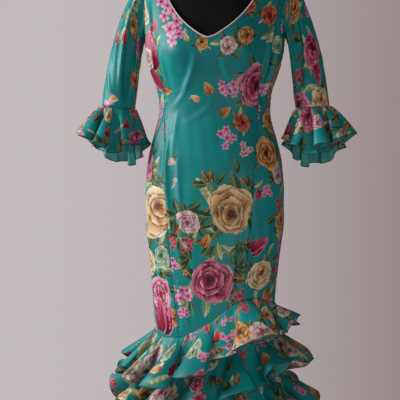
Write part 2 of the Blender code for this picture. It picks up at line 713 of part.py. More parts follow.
def sweep(name, path, sides_of, look):
    """A solid swept along an open path; sides_of gives the two unit directions across it at each point."""
    first, second = sides_of
    turns = np.linspace(0, 2 * math.pi, BINDING_SIDES, endpoint=False)
    rings = [
        path + BINDING_RADIUS * (math.cos(turn) * first + math.sin(turn) * second)
        for turn in turns
    ]
    points = np.stack(rings, axis=1)
    mesh = bpy.data.meshes.new(name)
    quads = grid_quads(len(path), BINDING_SIDES, closed=True).tolist()
    last = (len(path) - 1) * BINDING_SIDES
    caps = [list(range(BINDING_SIDES))[::-1], [last + side for side in range(BINDING_SIDES)]]
    mesh.from_pydata(points.reshape(-1, 3).tolist(), [], quads + caps)
    recalculate(mesh)
    return place(name, mesh, look)


def recalculate(mesh):
    """Turns every face outwards."""
    work = bmesh.new()
    work.from_mesh(mesh)
    bmesh.ops.recalc_face_normals(work, faces=work.faces)
    work.to_mesh(mesh)
    work.free()


def neck_binding():
    """The narrow binding round the neck edge, open at the zip."""
    above_v = len(ROW_HEIGHTS) - ROW_HEIGHTS.index(V_POINT) + STRAP_ROWS
    front_angle, front_height = neck_path(FRONT_NECK, above_v, True)
    back_angle, back_height = neck_path(BACK_NECK, STRAP_ROWS + 1, False)
    front_angle[-1] = math.pi / 2
    side_angle = np.concatenate([front_angle, back_angle[::-1][1:]])
    side_height = np.concatenate([front_height, back_height[::-1][1:]])
    side_angle[-1] = math.pi - 0.012
    angle = np.concatenate([-side_angle[::-1], side_angle[1:]])
    height = np.concatenate([side_height[::-1], side_height[1:]])
    edge = body_point(angle, height)
    out = surface_normal(body_point, angle, height)
    out[len(side_angle) - 1] = (0, -1, 0)
    along = np.gradient(edge, axis=0)
    along /= np.linalg.norm(along, axis=1, keepdims=True)
    inwards = np.cross(out, along)
    inwards /= np.linalg.norm(inwards, axis=1, keepdims=True)
    path = edge + inwards * (BINDING_RADIUS + SEAM_GAP)
    return sweep("neck_binding", path, (out, inwards), BINDING_SATIN)


def form_torso():
    """The limbless torso of the form, a smooth solid inside the cloth, closest to it at the shoulders."""
    turns = np.linspace(0, 2 * math.pi, FORM_COLUMNS, endpoint=False) + FORM_FIRST_TURN
    turn, height = np.meshgrid(turns, FORM_HEIGHTS)
    normals = surface_normal(body_point, turn, height)
    inside = smooth_table(height, [row[0] for row in FORM_INSIDE], [row[1] for row in FORM_INSIDE])
    points = body_point(turn, height) - normals * inside[..., None]
    points[0, :, 2] = FORM_BOTTOM
    points[-1, :, 2] = FORM_TOP
    quads = grid_quads(len(FORM_HEIGHTS), FORM_COLUMNS, closed=True).tolist()
    last = (len(FORM_HEIGHTS) - 1) * FORM_COLUMNS
    caps = [list(range(FORM_COLUMNS))[::-1], [last + column for column in range(FORM_COLUMNS)]]
    mesh = bpy.data.meshes.new("form_torso")
    mesh.from_pydata(points.reshape(-1, 3).tolist(), [], quads + caps)
    recalculate(mesh)
    return place("form_torso", mesh, JERSEY)


def turned(name, profile, look, steps):
    """A round solid from a profile of (radius, height), bottom to top."""
    mesh = bpy.data.meshes.new(name)
    shape = bmesh.new()
    vertices = [shape.verts.new((radius, 0, height)) for radius, height in profile]
    edges = [shape.edges.new(pair) for pair in zip(vertices, vertices[1:])]
    bmesh.ops.spin(
        shape,
        geom=vertices + edges,
        cent=(0, 0, 0),
        axis=(0, 0, 1),
        angle=2 * math.pi,
        steps=steps,
        use_merge=True,
    )
    bmesh.ops.remove_doubles(shape, verts=shape.verts, dist=1e-6)
    bmesh.ops.recalc_face_normals(shape, faces=shape.faces)
    shape.to_mesh(mesh)
    shape.free()
    return place(name, mesh, look)


def stand():
    """The neck cap, and the collar, pole and round base that hold the form up."""
    cap_bottom = FORM_TOP + REST_GAP
    cap_top = cap_bottom + CAP_BAND + CAP_HEIGHT
    dome = [
        (CAP_RADIUS * math.cos(turn), cap_bottom + CAP_BAND + CAP_HEIGHT * math.sin(turn))
        for turn in np.radians([0, 25, 50, 70])
    ]
    cap = [(0, cap_bottom), (CAP_RADIUS, cap_bottom), *dome, (0, cap_top)]
    collar_top = FORM_BOTTOM - REST_GAP
    collar_bottom = collar_top - COLLAR_HEIGHT
    collar = [
        (0, collar_bottom),
        (POLE_RADIUS + COLLAR_FOOT, collar_bottom),
        (COLLAR_RADIUS, collar_top - COLLAR_BAND),
        (COLLAR_RADIUS, collar_top),
        (0, collar_top),
    ]
    pole_bottom, pole_top = BASE_HEIGHT + REST_GAP, collar_bottom - REST_GAP
    pole = [(0, pole_bottom), (POLE_RADIUS, pole_bottom), (POLE_RADIUS, pole_top), (0, pole_top)]
    shoulder_in, shoulder_height = BASE_SHOULDER
    base = [
        (0, 0),
        (BASE_RADIUS, 0),
        (BASE_RADIUS, BASE_RIM),
        (BASE_RADIUS - shoulder_in, shoulder_height),
        (BASE_MIDDLE_RADIUS, BASE_HEIGHT),
        (0, BASE_HEIGHT),
    ]
    turned("neck_cap", cap, STAND_METAL, 20)
    turned("stand_collar", collar, STAND_METAL, 16)
    turned("stand_pole", pole, STAND_METAL, 16)
    turned("stand_base", base, STAND_METAL, 32)


def box_mesh(name, low, high):
    """A block between two corners, as a mesh."""
    mesh = bpy.data.meshes.new(name)
    shape = bmesh.new()
    bmesh.ops.create_cube(shape, size=1)
    size = Vector(high) - Vector(low)
    bmesh.ops.scale(shape, vec=size, verts=shape.verts)
    bmesh.ops.translate(shape, vec=Vector(low) + size / 2, verts=shape.verts)
    shape.to_mesh(mesh)
    shape.free()
    return mesh


def boolean(piece, other_mesh, operation):
    """Joins a block to a piece or cuts it out, with the helper hidden."""
    helper = bpy.data.objects.new(other_mesh.name, other_mesh)
    bpy.context.scene.collection.objects.link(helper)
    helper.matrix_world = piece.matrix_world
    helper.hide_render = True
    helper.display_type = "WIRE"
    change = piece.modifiers.new(operation.lower(), "BOOLEAN")
    change.operation = operation
    change.object = helper


def zip_frame():
    """Where the zip slider sits: X across, Y out of the cloth, Z up along the back."""
    rows = body_point(np.array([math.pi, math.pi]), np.array([ROW_HEIGHTS[-2], BACK_NECK[0][1]]))
    lower, upper = Vector(rows[0]), Vector(rows[1])
    point = lower.lerp(upper, ZIP_PLACE)
    point.x = 0
    up = (upper - lower).normalized()
    out = up.cross(Vector((1, 0, 0)))
    columns = (Vector((1, 0, 0)), out, up, point)
    return Matrix([[column[row] for column in columns] for row in range(3)] + [[0, 0, 0, 1]])


def zip_slider(frame):
    """The slider's plate with a bridge over the pull's bar."""
    half_width, half_length = SLIDER_WIDTH / 2, SLIDER_LENGTH / 2
    bridge_low = PIVOT_OUT + PULL_THICKNESS * math.sqrt(2) / 2 + BRIDGE_CLEARANCE
    low, high = (-half_width, SLIDER_BOTTOM, -half_length), (half_width, SLIDER_TOP, half_length)
    plate = box_mesh("zip_slider", low, high)
    slider = place("zip_slider", plate, ZIP_METAL, smooth=False)
    slider.matrix_world = frame
    half_bridge = BRIDGE_WIDTH / 2
    bridge_top = bridge_low + BRIDGE_THICKNESS
    low, high = (-half_bridge, SLIDER_TOP - ARCH_ROOT, -BRIDGE_REACH), (half_bridge, bridge_top, BRIDGE_REACH)
    arch = box_mesh("zip_arch", low, high)
    hollow = BRIDGE_REACH - BRIDGE_THICKNESS
    low, high = (-half_width, SLIDER_TOP, -hollow), (half_width, bridge_low, hollow)
    opening = box_mesh("zip_arch_opening", low, high)
    boolean(slider, arch, "UNION")
    boolean(slider, opening, "DIFFERENCE")


def zip_pull(frame):
    """The flat drop-shaped pull, hung by its bar under the slider's bridge."""
    mesh = bpy.data.meshes.new("zip_pull")
    shape = bmesh.new()
    top, half = PULL_THICKNESS / 2, PULL_WIDTH / 2
    shoulder = PULL_EYE_WIDTH / 2 + PULL_RIM
    drop_centre = -(PULL_LENGTH - half)
    lower = [
        (half * math.sin(turn), drop_centre - half * math.cos(turn))
        for turn in np.radians(np.linspace(100, -100, 11))
    ]
    outline = [(shoulder, top), *lower, (-shoulder, top)]
    ring = [shape.verts.new((x, -PULL_THICKNESS / 2, z)) for x, z in outline]
    face = shape.faces.new(ring)
    moved = bmesh.ops.extrude_face_region(shape, geom=[face])
    corners = [item for item in moved["geom"] if isinstance(item, bmesh.types.BMVert)]
    bmesh.ops.translate(shape, vec=(0, PULL_THICKNESS, 0), verts=corners)
    bmesh.ops.recalc_face_normals(shape, faces=shape.faces)
    shape.to_mesh(mesh)
    shape.free()
    pull = place("zip_pull", mesh, ZIP_METAL, smooth=False)
    pull.matrix_world = frame @ Matrix.Translation((0, PIVOT_OUT, 0))
    half_eye = PULL_EYE_WIDTH / 2
    low, high = (-half_eye, -EYE_CUTTER, -top - PULL_EYE_LENGTH), (half_eye, EYE_CUTTER, -top)
    eye = box_mesh("zip_pull_eye", low, high)
    boolean(pull, eye, "DIFFERENCE")


def build():
    for old in list(bpy.data.objects):
        bpy.data.objects.remove(old)
    front_panel()
    for side, word in ((1, "left"), (-1, "right")):
        side_panel(f"side_front_{word}", False, side)
        side_panel(f"side_back_{word}", True, side)
        back_panel(f"back_panel_{word}", side)
        sleeve(f"sleeve_{word}", side < 0)
        cuff_flounce(f"cuff_flounce_{word}", side < 0)
    for quarter, start, end in QUARTERS:
        underskirt(f"underskirt_{quarter}", start, end)
        for tier in TIERS:
            flounce(tier, quarter, start, end)
    neck_binding()
    form_torso()
    stand()
    frame = zip_frame()
    zip_slider(frame)
    zip_pull(frame)


build()
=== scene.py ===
# %% [markdown]
# # A flamenco dress on a dress form
#
# A flamenco dress is a fitted sheath that breaks into rows of flounces below the knee. This one is printed
# satin, cut in seven long panels, with elbow sleeves that end in a flounced cuff, and it stands on a
# limbless form. The lesson opens the solid model, which fixes every size, and puts finer cloth on its
# surfaces.

# %% Open the solid model
import math

import bmesh
import bpy
import numpy as np
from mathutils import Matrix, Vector, kdtree


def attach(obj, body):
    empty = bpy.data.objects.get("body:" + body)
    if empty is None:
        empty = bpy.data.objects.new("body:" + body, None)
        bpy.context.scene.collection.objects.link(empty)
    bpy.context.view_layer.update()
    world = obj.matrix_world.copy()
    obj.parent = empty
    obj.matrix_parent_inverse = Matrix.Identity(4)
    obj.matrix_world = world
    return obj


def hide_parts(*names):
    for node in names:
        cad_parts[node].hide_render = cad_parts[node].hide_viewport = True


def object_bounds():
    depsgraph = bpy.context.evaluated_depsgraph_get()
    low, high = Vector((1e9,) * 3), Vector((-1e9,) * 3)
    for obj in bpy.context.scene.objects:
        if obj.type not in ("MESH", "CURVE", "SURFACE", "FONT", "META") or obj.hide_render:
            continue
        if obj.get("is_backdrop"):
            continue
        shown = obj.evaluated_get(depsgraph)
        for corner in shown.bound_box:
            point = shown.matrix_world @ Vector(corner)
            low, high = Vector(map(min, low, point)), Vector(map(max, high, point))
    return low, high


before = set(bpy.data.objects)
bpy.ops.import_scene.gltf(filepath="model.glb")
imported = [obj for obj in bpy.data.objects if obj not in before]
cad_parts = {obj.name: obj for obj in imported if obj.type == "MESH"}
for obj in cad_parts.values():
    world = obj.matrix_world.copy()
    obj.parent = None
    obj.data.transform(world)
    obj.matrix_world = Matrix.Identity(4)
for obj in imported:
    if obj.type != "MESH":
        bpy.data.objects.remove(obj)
box_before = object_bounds()
COARSER = 1.0
ROOT = "dress_on_form"
print("solid nodes", len(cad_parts), "box", np.round(box_before, 3).tolist())

# %% [markdown]
# ## The surface that the cloth lies on
#
# The dress follows one smooth body surface, read from a short table of half widths and depths at heights. A
# point on it has an angle (0 at the front, 90 degrees at the wearer's left) and a height. A body could be
# sculpted, but a table can be read by every panel, so panels that share a seam meet without a gap.

# %% Tables of the body
WALL = 0.0015
SEAM_GAP = 0.0004
SEAM_ANGLE = 0.0015
CENTRE_BACK_ANGLE = 0.0006
SHOULDER_SEAM_ANGLE = 0.004
BODY_COLUMNS = ("height", "half_width", "front_depth", "back_depth")
BODY = np.array(
    (
        (0.030, 0.205, 0.195, 0.200), (0.150, 0.190, 0.175, 0.180), (0.300, 0.174, 0.155, 0.158),
        (0.450, 0.162, 0.140, 0.142), (0.550, 0.167, 0.138, 0.140), (0.650, 0.176, 0.139, 0.143),
        (0.740, 0.186, 0.139, 0.149), (0.820, 0.1875, 0.136, 0.153), (0.900, 0.182, 0.130, 0.146),
        (0.960, 0.169, 0.121, 0.128), (1.000, 0.157, 0.113, 0.111), (1.043, 0.1485, 0.107, 0.097),
        (1.080, 0.151, 0.108, 0.095), (1.120, 0.163, 0.113, 0.100), (1.160, 0.176, 0.118, 0.106),
        (1.200, 0.184, 0.119, 0.110), (1.240, 0.188, 0.114, 0.112), (1.280, 0.191, 0.104, 0.110),
        (1.320, 0.194, 0.091, 0.103), (1.355, 0.194, 0.077, 0.090), (1.380, 0.188, 0.065, 0.076),
        (1.395, 0.176, 0.058, 0.067), (1.405, 0.152, 0.054, 0.061), (1.415, 0.120, 0.051, 0.057),
        (1.425, 0.092, 0.051, 0.055), (1.440, 0.068, 0.051, 0.054), (1.460, 0.059, 0.050, 0.053),
        (1.500, 0.056, 0.049, 0.052),
    )
)
SQUARENESS = 0.9
BUST_HEIGHT, BUST_APART, BUST_SPREAD, BUST_FULLNESS = 1.205, 0.075, 0.060, 0.030
BUST_ABOVE, BUST_BELOW, BUST_ROUND, BRIDGE_DIP = 0.075, 0.052, 0.35, 0.25
# Princess seams: height, angle of the front one, angle of the back one.
PRINCESS = np.array(
    (
        (0.42, 25, 150), (0.55, 30, 149), (0.68, 33, 148), (0.80, 35, 147), (0.93, 40, 146),
        (0.985, 47, 147), (1.043, 54, 148), (1.09, 52, 147), (1.14, 49, 144), (1.20, 48, 138),
        (1.25, 54, 128), (1.285, 60, 119), (1.32, 66, 112), (1.35, 71, 109),
    )
)
PRINCESS_TOP = 1.35
V_POINT = 1.225
FRONT_NECK = (
    (0.000, 1.225), (0.017, 1.231), (0.0335, 1.241), (0.054, 1.256), (0.076, 1.276), (0.098, 1.303),
    (0.116, 1.334), (0.1255, 1.370), (0.128, 1.4122),
)
BACK_NECK = ((0.000, 1.372), (0.045, 1.375), (0.085, 1.385), (0.113, 1.399), (0.128, 1.4122))
ARMHOLE_FRONT = (
    (90, 1.393), (80, 1.380), (73, 1.366), (71, 1.350), (70.5, 1.320), (72, 1.280), (79, 1.245), (90, 1.228),
)
SHOULDER_POINT, UNDERARM = 1.393, 1.228
# The shoulder strap begins at the third step down the armhole table.
STRAP_JOIN = 3 / (len(ARMHOLE_FRONT) - 1)
ROW_HEIGHTS = (0.60, 0.70, 0.80, 0.885, 0.965, 1.043, 1.10, 1.155, 1.195, 1.225, 1.265, 1.31, 1.35)
STRAP_ROWS = 7


# %% Reading the tables
def blend(first, second, share):
    return first + (second - first) * share


def hermite(share, start, leave, end, arrive):
    """A cubic curve between two values with a given slope at each."""
    start_weight = 2 * share**3 - 3 * share**2 + 1
    slopes = (share**3 - 2 * share**2 + share) * leave + (share**3 - share**2) * arrive
    return start_weight * start + (1 - start_weight) * end + slopes


def smooth_table(at, places, values):
    """Reads a table between its rows on a smooth curve that never overshoots them."""
    places, values = np.asarray(places, float), np.asarray(values, float)
    at = np.clip(np.asarray(at, float), places[0], places[-1])
    steps = np.diff(places)
    slopes = np.diff(values) / steps
    tangents = np.zeros_like(values)
    tangents[0], tangents[-1] = slopes[0], slopes[-1]
    before, after = slopes[:-1], slopes[1:]
    heavy, light = 2 * steps[1:] + steps[:-1], steps[1:] + 2 * steps[:-1]
    same_way = before * after > 0
    safe_before, safe_after = np.where(same_way, before, 1.0), np.where(same_way, after, 1.0)
    tangents[1:-1] = np.where(same_way, (heavy + light) / (heavy / safe_before + light / safe_after), 0.0)
    index = np.clip(np.searchsorted(places, at, side="right") - 1, 0, len(steps) - 1)
    step = steps[index]
    share = (at - places[index]) / step
    leave, arrive = step * tangents[index], step * tangents[index + 1]
    return hermite(share, values[index], leave, values[index + 1], arrive)


def body_measure(column, height):
    """A named column of the body table at a height."""
    return smooth_table(height, BODY[:, 0], BODY[:, BODY_COLUMNS.index(column)])


def signed_power(value, power):
    return np.sign(value) * np.abs(value) ** power


def unit(vectors):
    return vectors / np.maximum(np.linalg.norm(vectors, axis=-1, keepdims=True), 1e-12)


def walked_along(points):
    """Distance walked from the first point to each, in order."""
    return np.concatenate([[0], np.cumsum(np.linalg.norm(np.diff(points, axis=0), axis=1))])


def smooth_step(value):
    value = np.clip(value, 0, 1)
    return value * value * (3 - 2 * value)


def bust_shape(across, height):
    """How far the cups push the cloth forward, from 0 to 1."""
    spread = np.where(height > BUST_HEIGHT, BUST_ABOVE, BUST_BELOW)
    up_and_down = np.exp(-(((height - BUST_HEIGHT) / spread) ** 2))
    reach = np.abs(across)
    outside = np.exp(-(((reach - BUST_APART) / BUST_SPREAD) ** 2))
    bridge = 1 - BRIDGE_DIP * (1 - (np.minimum(reach, BUST_APART) / BUST_APART) ** 2) ** 2
    return up_and_down * np.where(reach > BUST_APART, outside, bridge)


def body_point(angle, height):
    """Points on the outside of the dress at angles round the body (radians) and heights."""
    angle, height = np.broadcast_arrays(np.asarray(angle, float), np.asarray(height, float))
    sideways, ahead = np.sin(angle), np.cos(angle)
    across = body_measure("half_width", height) * signed_power(sideways, SQUARENESS)
    depth = np.where(ahead > 0, body_measure("front_depth", height), body_measure("back_depth", height))
    forward = depth * signed_power(ahead, SQUARENESS)
    forward = forward + BUST_FULLNESS * bust_shape(across, height) * smooth_step(ahead / BUST_ROUND)
    return np.stack([across, -forward, height], axis=-1)


def surface_normal(surface, first, second, small=1e-4):
    """Unit normals of a surface(first, second) by differences."""
    along_first = surface(first + small, second) - surface(first - small, second)
    along_second = surface(first, second + small) - surface(first, second - small)
    return unit(np.cross(along_first, along_second))


def turned_out(normals, away):
    """The normals, flipped together if on the whole they point against the given directions."""
    return normals if (normals * away).sum() > 0 else -normals


def on_body(angle, height):
    """Points on the body and their outward normals."""
    points = body_point(angle, height)
    return points, turned_out(surface_normal(body_point, angle, height), points * (1, 1, 0))


def princess_angle(height, side):
    """Angle in radians of the princess seam at a height; side is 1 for the front one, 2 for the back one."""
    return np.radians(smooth_table(height, PRINCESS[:, 0], PRINCESS[:, side]))


def neck_path(table, count, in_front):
    """Points (angle, height) along a neckline table, evenly spaced on the body, up to the shoulder seam."""
    across, height = np.array(table).T
    walked = walked_along(np.array(table))
    at = np.linspace(0, walked[-1], 200)
    across, height = smooth_table(at, walked, across), smooth_table(at, walked, height)
    share = np.clip(across / body_measure("half_width", height), 0, 1)
    angle = np.arcsin(share ** (1 / SQUARENESS))
    angle[-1] = math.pi / 2
    angle = angle if in_front else math.pi - angle
    walked = walked_along(body_point(angle, height))
    at = np.linspace(0, walked[-1], count)
    angle, height = np.interp(at, walked, angle), np.interp(at, walked, height)
    angle[-1] += -SHOULDER_SEAM_ANGLE if in_front else SHOULDER_SEAM_ANGLE
    return angle, height


def armhole_path(places):
    """Angle and height of the armhole's front edge at places from 0, the shoulder, to 1, the underarm."""
    rows = np.array(ARMHOLE_FRONT, float)
    steps = np.linspace(0, 1, len(rows))
    return np.radians(smooth_table(places, steps, rows[:, 0])), smooth_table(places, steps, rows[:, 1])


print("bust point of the surface", body_point(math.radians(24), BUST_HEIGHT).round(3))

# %% [markdown]
# ## Flounce seams
#
# Each flounce is sewn on a seam that climbs across the front, from low on the wearer's right to high on the
# left. Its ridges are set one by one, because real flounces never wave evenly.

# %% Tables of the flounces
TIER_COLUMNS = ("name", "low", "high", "flare", "drop", "wave", "lift", "lean", "ridges")
TIERS = (
    ("tier1", 0.442, 0.552, 0.068, 0.103, 0.034, 0.015, 0.013,
     (-165, -134, -104, -78, -51, -26, -2, 32, 67, 99, 130, 163)),
    ("tier2", 0.349, 0.460, 0.078, 0.096, 0.031, 0.015, 0.013,
     (-175, -146, -113, -86, -57, -31, -5, 21, 49, 80, 112, 149)),
    ("tier3", 0.256, 0.343, 0.086, 0.098, 0.032, 0.015, 0.013,
     (-163, -134, -110, -80, -55, -26, 0, 24, 54, 83, 107, 138, 166)),
    ("tier4", 0.163, 0.222, 0.096, 0.106, 0.033, 0.016, 0.012,
     (-170, -146, -119, -95, -66, -41, -15, 11, 34, 62, 87, 111, 137, 164)),
)
FIRST_CLIMB = (
    (-180, 0.38), (-140, 0.14), (-100, 0.0), (-60, 0.0), (-25, 0.06), (0, 0.42), (15, 0.76), (27, 0.95),
    (40, 1.0), (65, 0.86), (90, 0.70), (120, 0.60), (150, 0.50), (180, 0.38),
)
LOWER_CLIMB = (
    (-180, 0.38), (-140, 0.14), (-100, 0.0), (-60, 0.0), (-25, 0.05), (0, 0.32), (20, 0.62), (40, 0.85),
    (65, 1.0), (90, 0.97), (120, 0.80), (150, 0.58), (180, 0.38),
)
FIRST_TIER_REACH = (
    (-180, 1.1), (-110, 1.05), (-85, 1.0), (0, 1.0), (15, 1.05), (30, 1.12), (48, 1.0), (64, 0.7), (78, 0.45),
    (95, 0.45), (112, 0.66), (130, 1.0), (180, 1.1),
)
FIRST_TIER_DROP = (
    (-180, 0.86), (-110, 0.92), (-85, 1.0), (0, 1.0), (15, 0.9), (30, 0.8), (48, 0.72), (64, 0.62),
    (78, 0.56), (95, 0.56), (112, 0.62), (130, 0.72), (180, 0.86),
)
FLOUNCE_STAND_OFF, FLOUNCE_OVERLAP = WALL + 0.0008, 0.002
UNDERSKIRT_BELOW_LAST_SEAM, UNDERSKIRT_GAP = 0.070, 0.0025


def round_the_body(table, angle):
    """Reads a table of (degrees, value) at an angle in radians, taken once round the body."""
    degrees = np.mod(np.degrees(angle) + 180, 360) - 180
    return smooth_table(degrees, [row[0] for row in table], [row[1] for row in table])


def seam_height(tier, angle):
    """Height of a flounce seam, which climbs across the front from the wearer's right to the left."""
    low, high = tier[TIER_COLUMNS.index("low")], tier[TIER_COLUMNS.index("high")]
    climb = FIRST_CLIMB if tier is TIERS[0] else LOWER_CLIMB
    return low + (high - low) * round_the_body(climb, angle)


def first_seam(angle):
    return seam_height(TIERS[0], angle)


print("first seam, right to left", first_seam(np.radians([-60, 0, 40])).round(3))

# %% [markdown]
# ## Distances on the cloth
#
# A print keeps its size on cloth, so flowers and creases are laid out in metres along the cloth, not in
# degrees. The distance round the body from the front is measured once on a grid and then read between its
# points.

# %% Walking round the body
WALK_TURN, WALK_RISE = math.radians(2), 0.02
WALK_ANGLES = np.radians(np.arange(0, 181, 2.0))
WALK_HEIGHTS = np.arange(WALK_RISE, 1.46, WALK_RISE)
walk_grid = body_point(*np.meshgrid(WALK_ANGLES, WALK_HEIGHTS))
walk_steps = np.linalg.norm(np.diff(walk_grid, axis=1), axis=2)
WALKED = np.concatenate([np.zeros((len(WALK_HEIGHTS), 1)), np.cumsum(walk_steps, axis=1)], axis=1)


def walk_body(angle, height):
    """Distance round the body from the centre front along a level line, minus on the wearer's right."""
    angle, height = np.broadcast_arrays(np.asarray(angle, float), np.asarray(height, float))
    column = np.clip(np.abs(angle) / WALK_TURN, 0, len(WALK_ANGLES) - 1.001)
    row = np.clip((height - WALK_HEIGHTS[0]) / WALK_RISE, 0, len(WALK_HEIGHTS) - 1.001)
    i, j = row.astype(int), column.astype(int)
    low = blend(WALKED[i, j], WALKED[i, j + 1], column - j)
    high = blend(WALKED[i + 1, j], WALKED[i + 1, j + 1], column - j)
    return np.sign(angle) * blend(low, high, row - i)


print("hip and waist round", (2 * walk_body(math.pi, [0.82, 1.043])).round(3))

# %% [markdown]
# ## Painting the print
#
# The satin is printed all over with roses, peonies, small blossoms and leaves. An image could be wrapped on
# it, but here each flower is painted by formula: petals are laid ring by ring, light at the rim and dark at
# the root. Every point of the cloth stores a colour and how far it is inside the motif, so the edge stays
# crisp between points when the material cuts it at zero.

# %% Colours of the print
def linear(colour):
    """A display colour as the linear one that shaders use."""
    colour = np.asarray(colour, float)
    return np.where(colour <= 0.04045, colour / 12.92, ((colour + 0.055) / 1.055) ** 2.4)


PALETTES = {
    "peach": ((0.56, 0.31, 0.14), (0.88, 0.66, 0.43), (0.99, 0.92, 0.77)),
    "orange": ((0.26, 0.10, 0.05), (0.74, 0.42, 0.18), (0.96, 0.76, 0.48)),
    "gold": ((0.34, 0.15, 0.06), (0.80, 0.53, 0.27), (0.98, 0.86, 0.64)),
    "red": ((0.30, 0.03, 0.05), (0.70, 0.16, 0.14), (0.95, 0.55, 0.40)),
    "magenta": ((0.26, 0.00, 0.09), (0.66, 0.05, 0.27), (0.95, 0.58, 0.70)),
    "bright pink": ((0.48, 0.02, 0.18), (0.84, 0.22, 0.44), (1.00, 0.84, 0.90)),
    "phlox": ((0.55, 0.06, 0.32), (0.82, 0.38, 0.58), (0.96, 0.76, 0.84)),
    "berry": ((0.28, 0.00, 0.08), (0.70, 0.06, 0.28), (0.93, 0.50, 0.48)),
    "blush": ((0.44, 0.20, 0.26), (0.80, 0.56, 0.60), (0.98, 0.88, 0.86)),
    "taupe": ((0.26, 0.19, 0.17), (0.55, 0.47, 0.43), (0.86, 0.76, 0.70)),
    "green": ((0.28, 0.44, 0.32), (0.56, 0.70, 0.54), (0.86, 0.90, 0.76)),
    "dark leaf": ((0.08, 0.20, 0.14), (0.22, 0.37, 0.24), (0.52, 0.60, 0.40)),
    "pale leaf": ((0.32, 0.42, 0.27), (0.60, 0.68, 0.46), (0.90, 0.90, 0.72)),
    "brown leaf": ((0.24, 0.14, 0.07), (0.50, 0.34, 0.17), (0.80, 0.65, 0.38)),
}
PALETTES = {name: linear(rows) for name, rows in PALETTES.items()}


def tone(palette, light):
    """A colour between the palette's dark, middle and light ones, for light from 0 to 1."""
    light = np.clip(light, 0, 1)[:, None] * 2
    dark, middle, pale = palette
    return np.where(light < 1, dark + (middle - dark) * light, middle + (pale - middle) * (light - 1))


# %% Motifs by formula
FAR_OUTSIDE = -2.0


def lay(colour, inside, petal, edge):
    """Lays a petal's colour over what is painted, where it is inside its edge or nearer than the rest."""
    on_top = (edge > 0) | (edge > inside)
    colour[on_top] = petal[on_top]
    np.maximum(inside, edge, out=inside)


def rose(x, y, palette, rng):
    """Broad overlapping petals in rings round a dark heart; x and y run from -1 to 1 across the flower."""
    lean, stretch = rng.uniform(0, 2 * math.pi), rng.uniform(0.84, 0.95)
    wobble = 0.05 * np.sin(4.3 * y + lean) + 0.03 * np.sin(7.1 * x - 2 * lean)
    x, y = (x + wobble) / stretch, y + 0.05 * np.sin(4.7 * x + 2 * lean)
    heart_x, heart_y = 0.16 * math.cos(lean), 0.16 * math.sin(lean)
    colour = np.tile(palette[0], (len(x), 1))
    inside = np.full(len(x), FAR_OUTSIDE)
    rings = ((0.54, 0.48, 6, 0.08), (0.43, 0.46, 5, 0.0), (0.28, 0.36, 5, 0.02), (0.15, 0.24, 4, -0.10))
    for number, (reach, size, count, lift) in enumerate(rings):
        start = rng.uniform(0, 2 * math.pi)
        shift_x, shift_y = heart_x * number / 3, heart_y * number / 3
        for petal in range(count):
            turn = start + 2 * math.pi * (petal + rng.uniform(-0.22, 0.22)) / count
            grown = size * rng.uniform(0.86, 1.10)
            u, v = x - shift_x, y - shift_y
            along = (u * math.cos(turn) + v * math.sin(turn) - reach) / grown
            across = (v * math.cos(turn) - u * math.sin(turn)) / grown
            frill = 0.06 * np.sin(5 * across + turn) + 0.035 * np.sin(12 * across + 3 * turn)
            edge = (1 + frill - np.hypot(along * 1.05, across * 0.84)) * grown
            streaks = 0.13 * np.sin(15 * across + 2.5 * along + turn) * (0.6 - 0.4 * along)
            light = 0.46 + lift + 0.50 * along - 0.20 * across**2 + streaks + rng.uniform(-0.10, 0.10)
            light = np.where(edge < 0.04, light + 0.30, light)
            under = (edge <= 0) & (edge > -0.07) & (inside > 0)
            colour[under] *= 0.58
            lay(colour, inside, tone(palette, light), edge)
    heart = np.hypot(x - heart_x, y - heart_y)
    dark = (heart < 0.15 + 0.04 * np.sin(5 * np.arctan2(y - heart_y, x - heart_x))) & (inside > 0)
    colour[dark] = 0.55 * palette[0]
    return colour, inside


def blossom(x, y, palette, rng):
    """A small flower of five notched petals with a dark eye."""
    turn = np.arctan2(y, x) * 5 + rng.uniform(0, 6)
    away = np.hypot(x, y)
    inside = 0.80 + 0.17 * np.cos(turn) - 0.06 * np.cos(2 * turn) - away
    light = 0.62 + 0.30 * np.cos(turn) * away + 0.25 * (away - 0.4)
    light = np.where(away < 0.26, 0.0, light)
    return tone(palette, light), inside


def leaf(x, y, palette, rng):
    """A pointed leaf along x, with a light rib and one half darker than the other."""
    bend = rng.uniform(-0.22, 0.22)
    y = y - bend * (1 - x * x)
    half = 0.40 * np.clip(1 - x * x, 0, 1) ** 0.85 * (1 - 0.25 * x)
    veins = 0.10 * np.sin(16 * x - 14 * np.abs(y))
    light = 0.42 + 0.18 * np.sign(y) + veins + 0.25 * x
    light = np.where(np.abs(y) < 0.045, 0.95, light)
    inside = np.where(np.abs(x) < 1, half - np.abs(y), -np.hypot(np.abs(x) - 1, y))
    return tone(palette, light), inside


def bud(x, y, palette, rng):
    """Three long petals that fold over each other to a point, along x."""
    colour = np.tile(palette[0], (len(x), 1))
    inside = np.full(len(x), FAR_OUTSIDE)
    for lean, lift in ((0.34, 0.1), (-0.34, -0.02), (0.0, 0.16)):
        side = y - lean * (1 - x) * 0.55
        half = 0.40 * np.clip(1 - x * x, 0, 1) ** 0.6 * (1 - 0.35 * x)
        edge = np.where(np.abs(x) < 1, half - np.abs(side), -np.hypot(np.abs(x) - 1, side))
        light = 0.22 + lift + 0.30 * x + 0.9 * np.abs(side) * (side * lean >= 0)
        light += 0.14 * np.sin(18 * side + 2 * x)
        light = np.where((edge < 0.05) & (side < 0), 0.97, light)
        lay(colour, inside, tone(palette, light), edge)
    return colour, inside


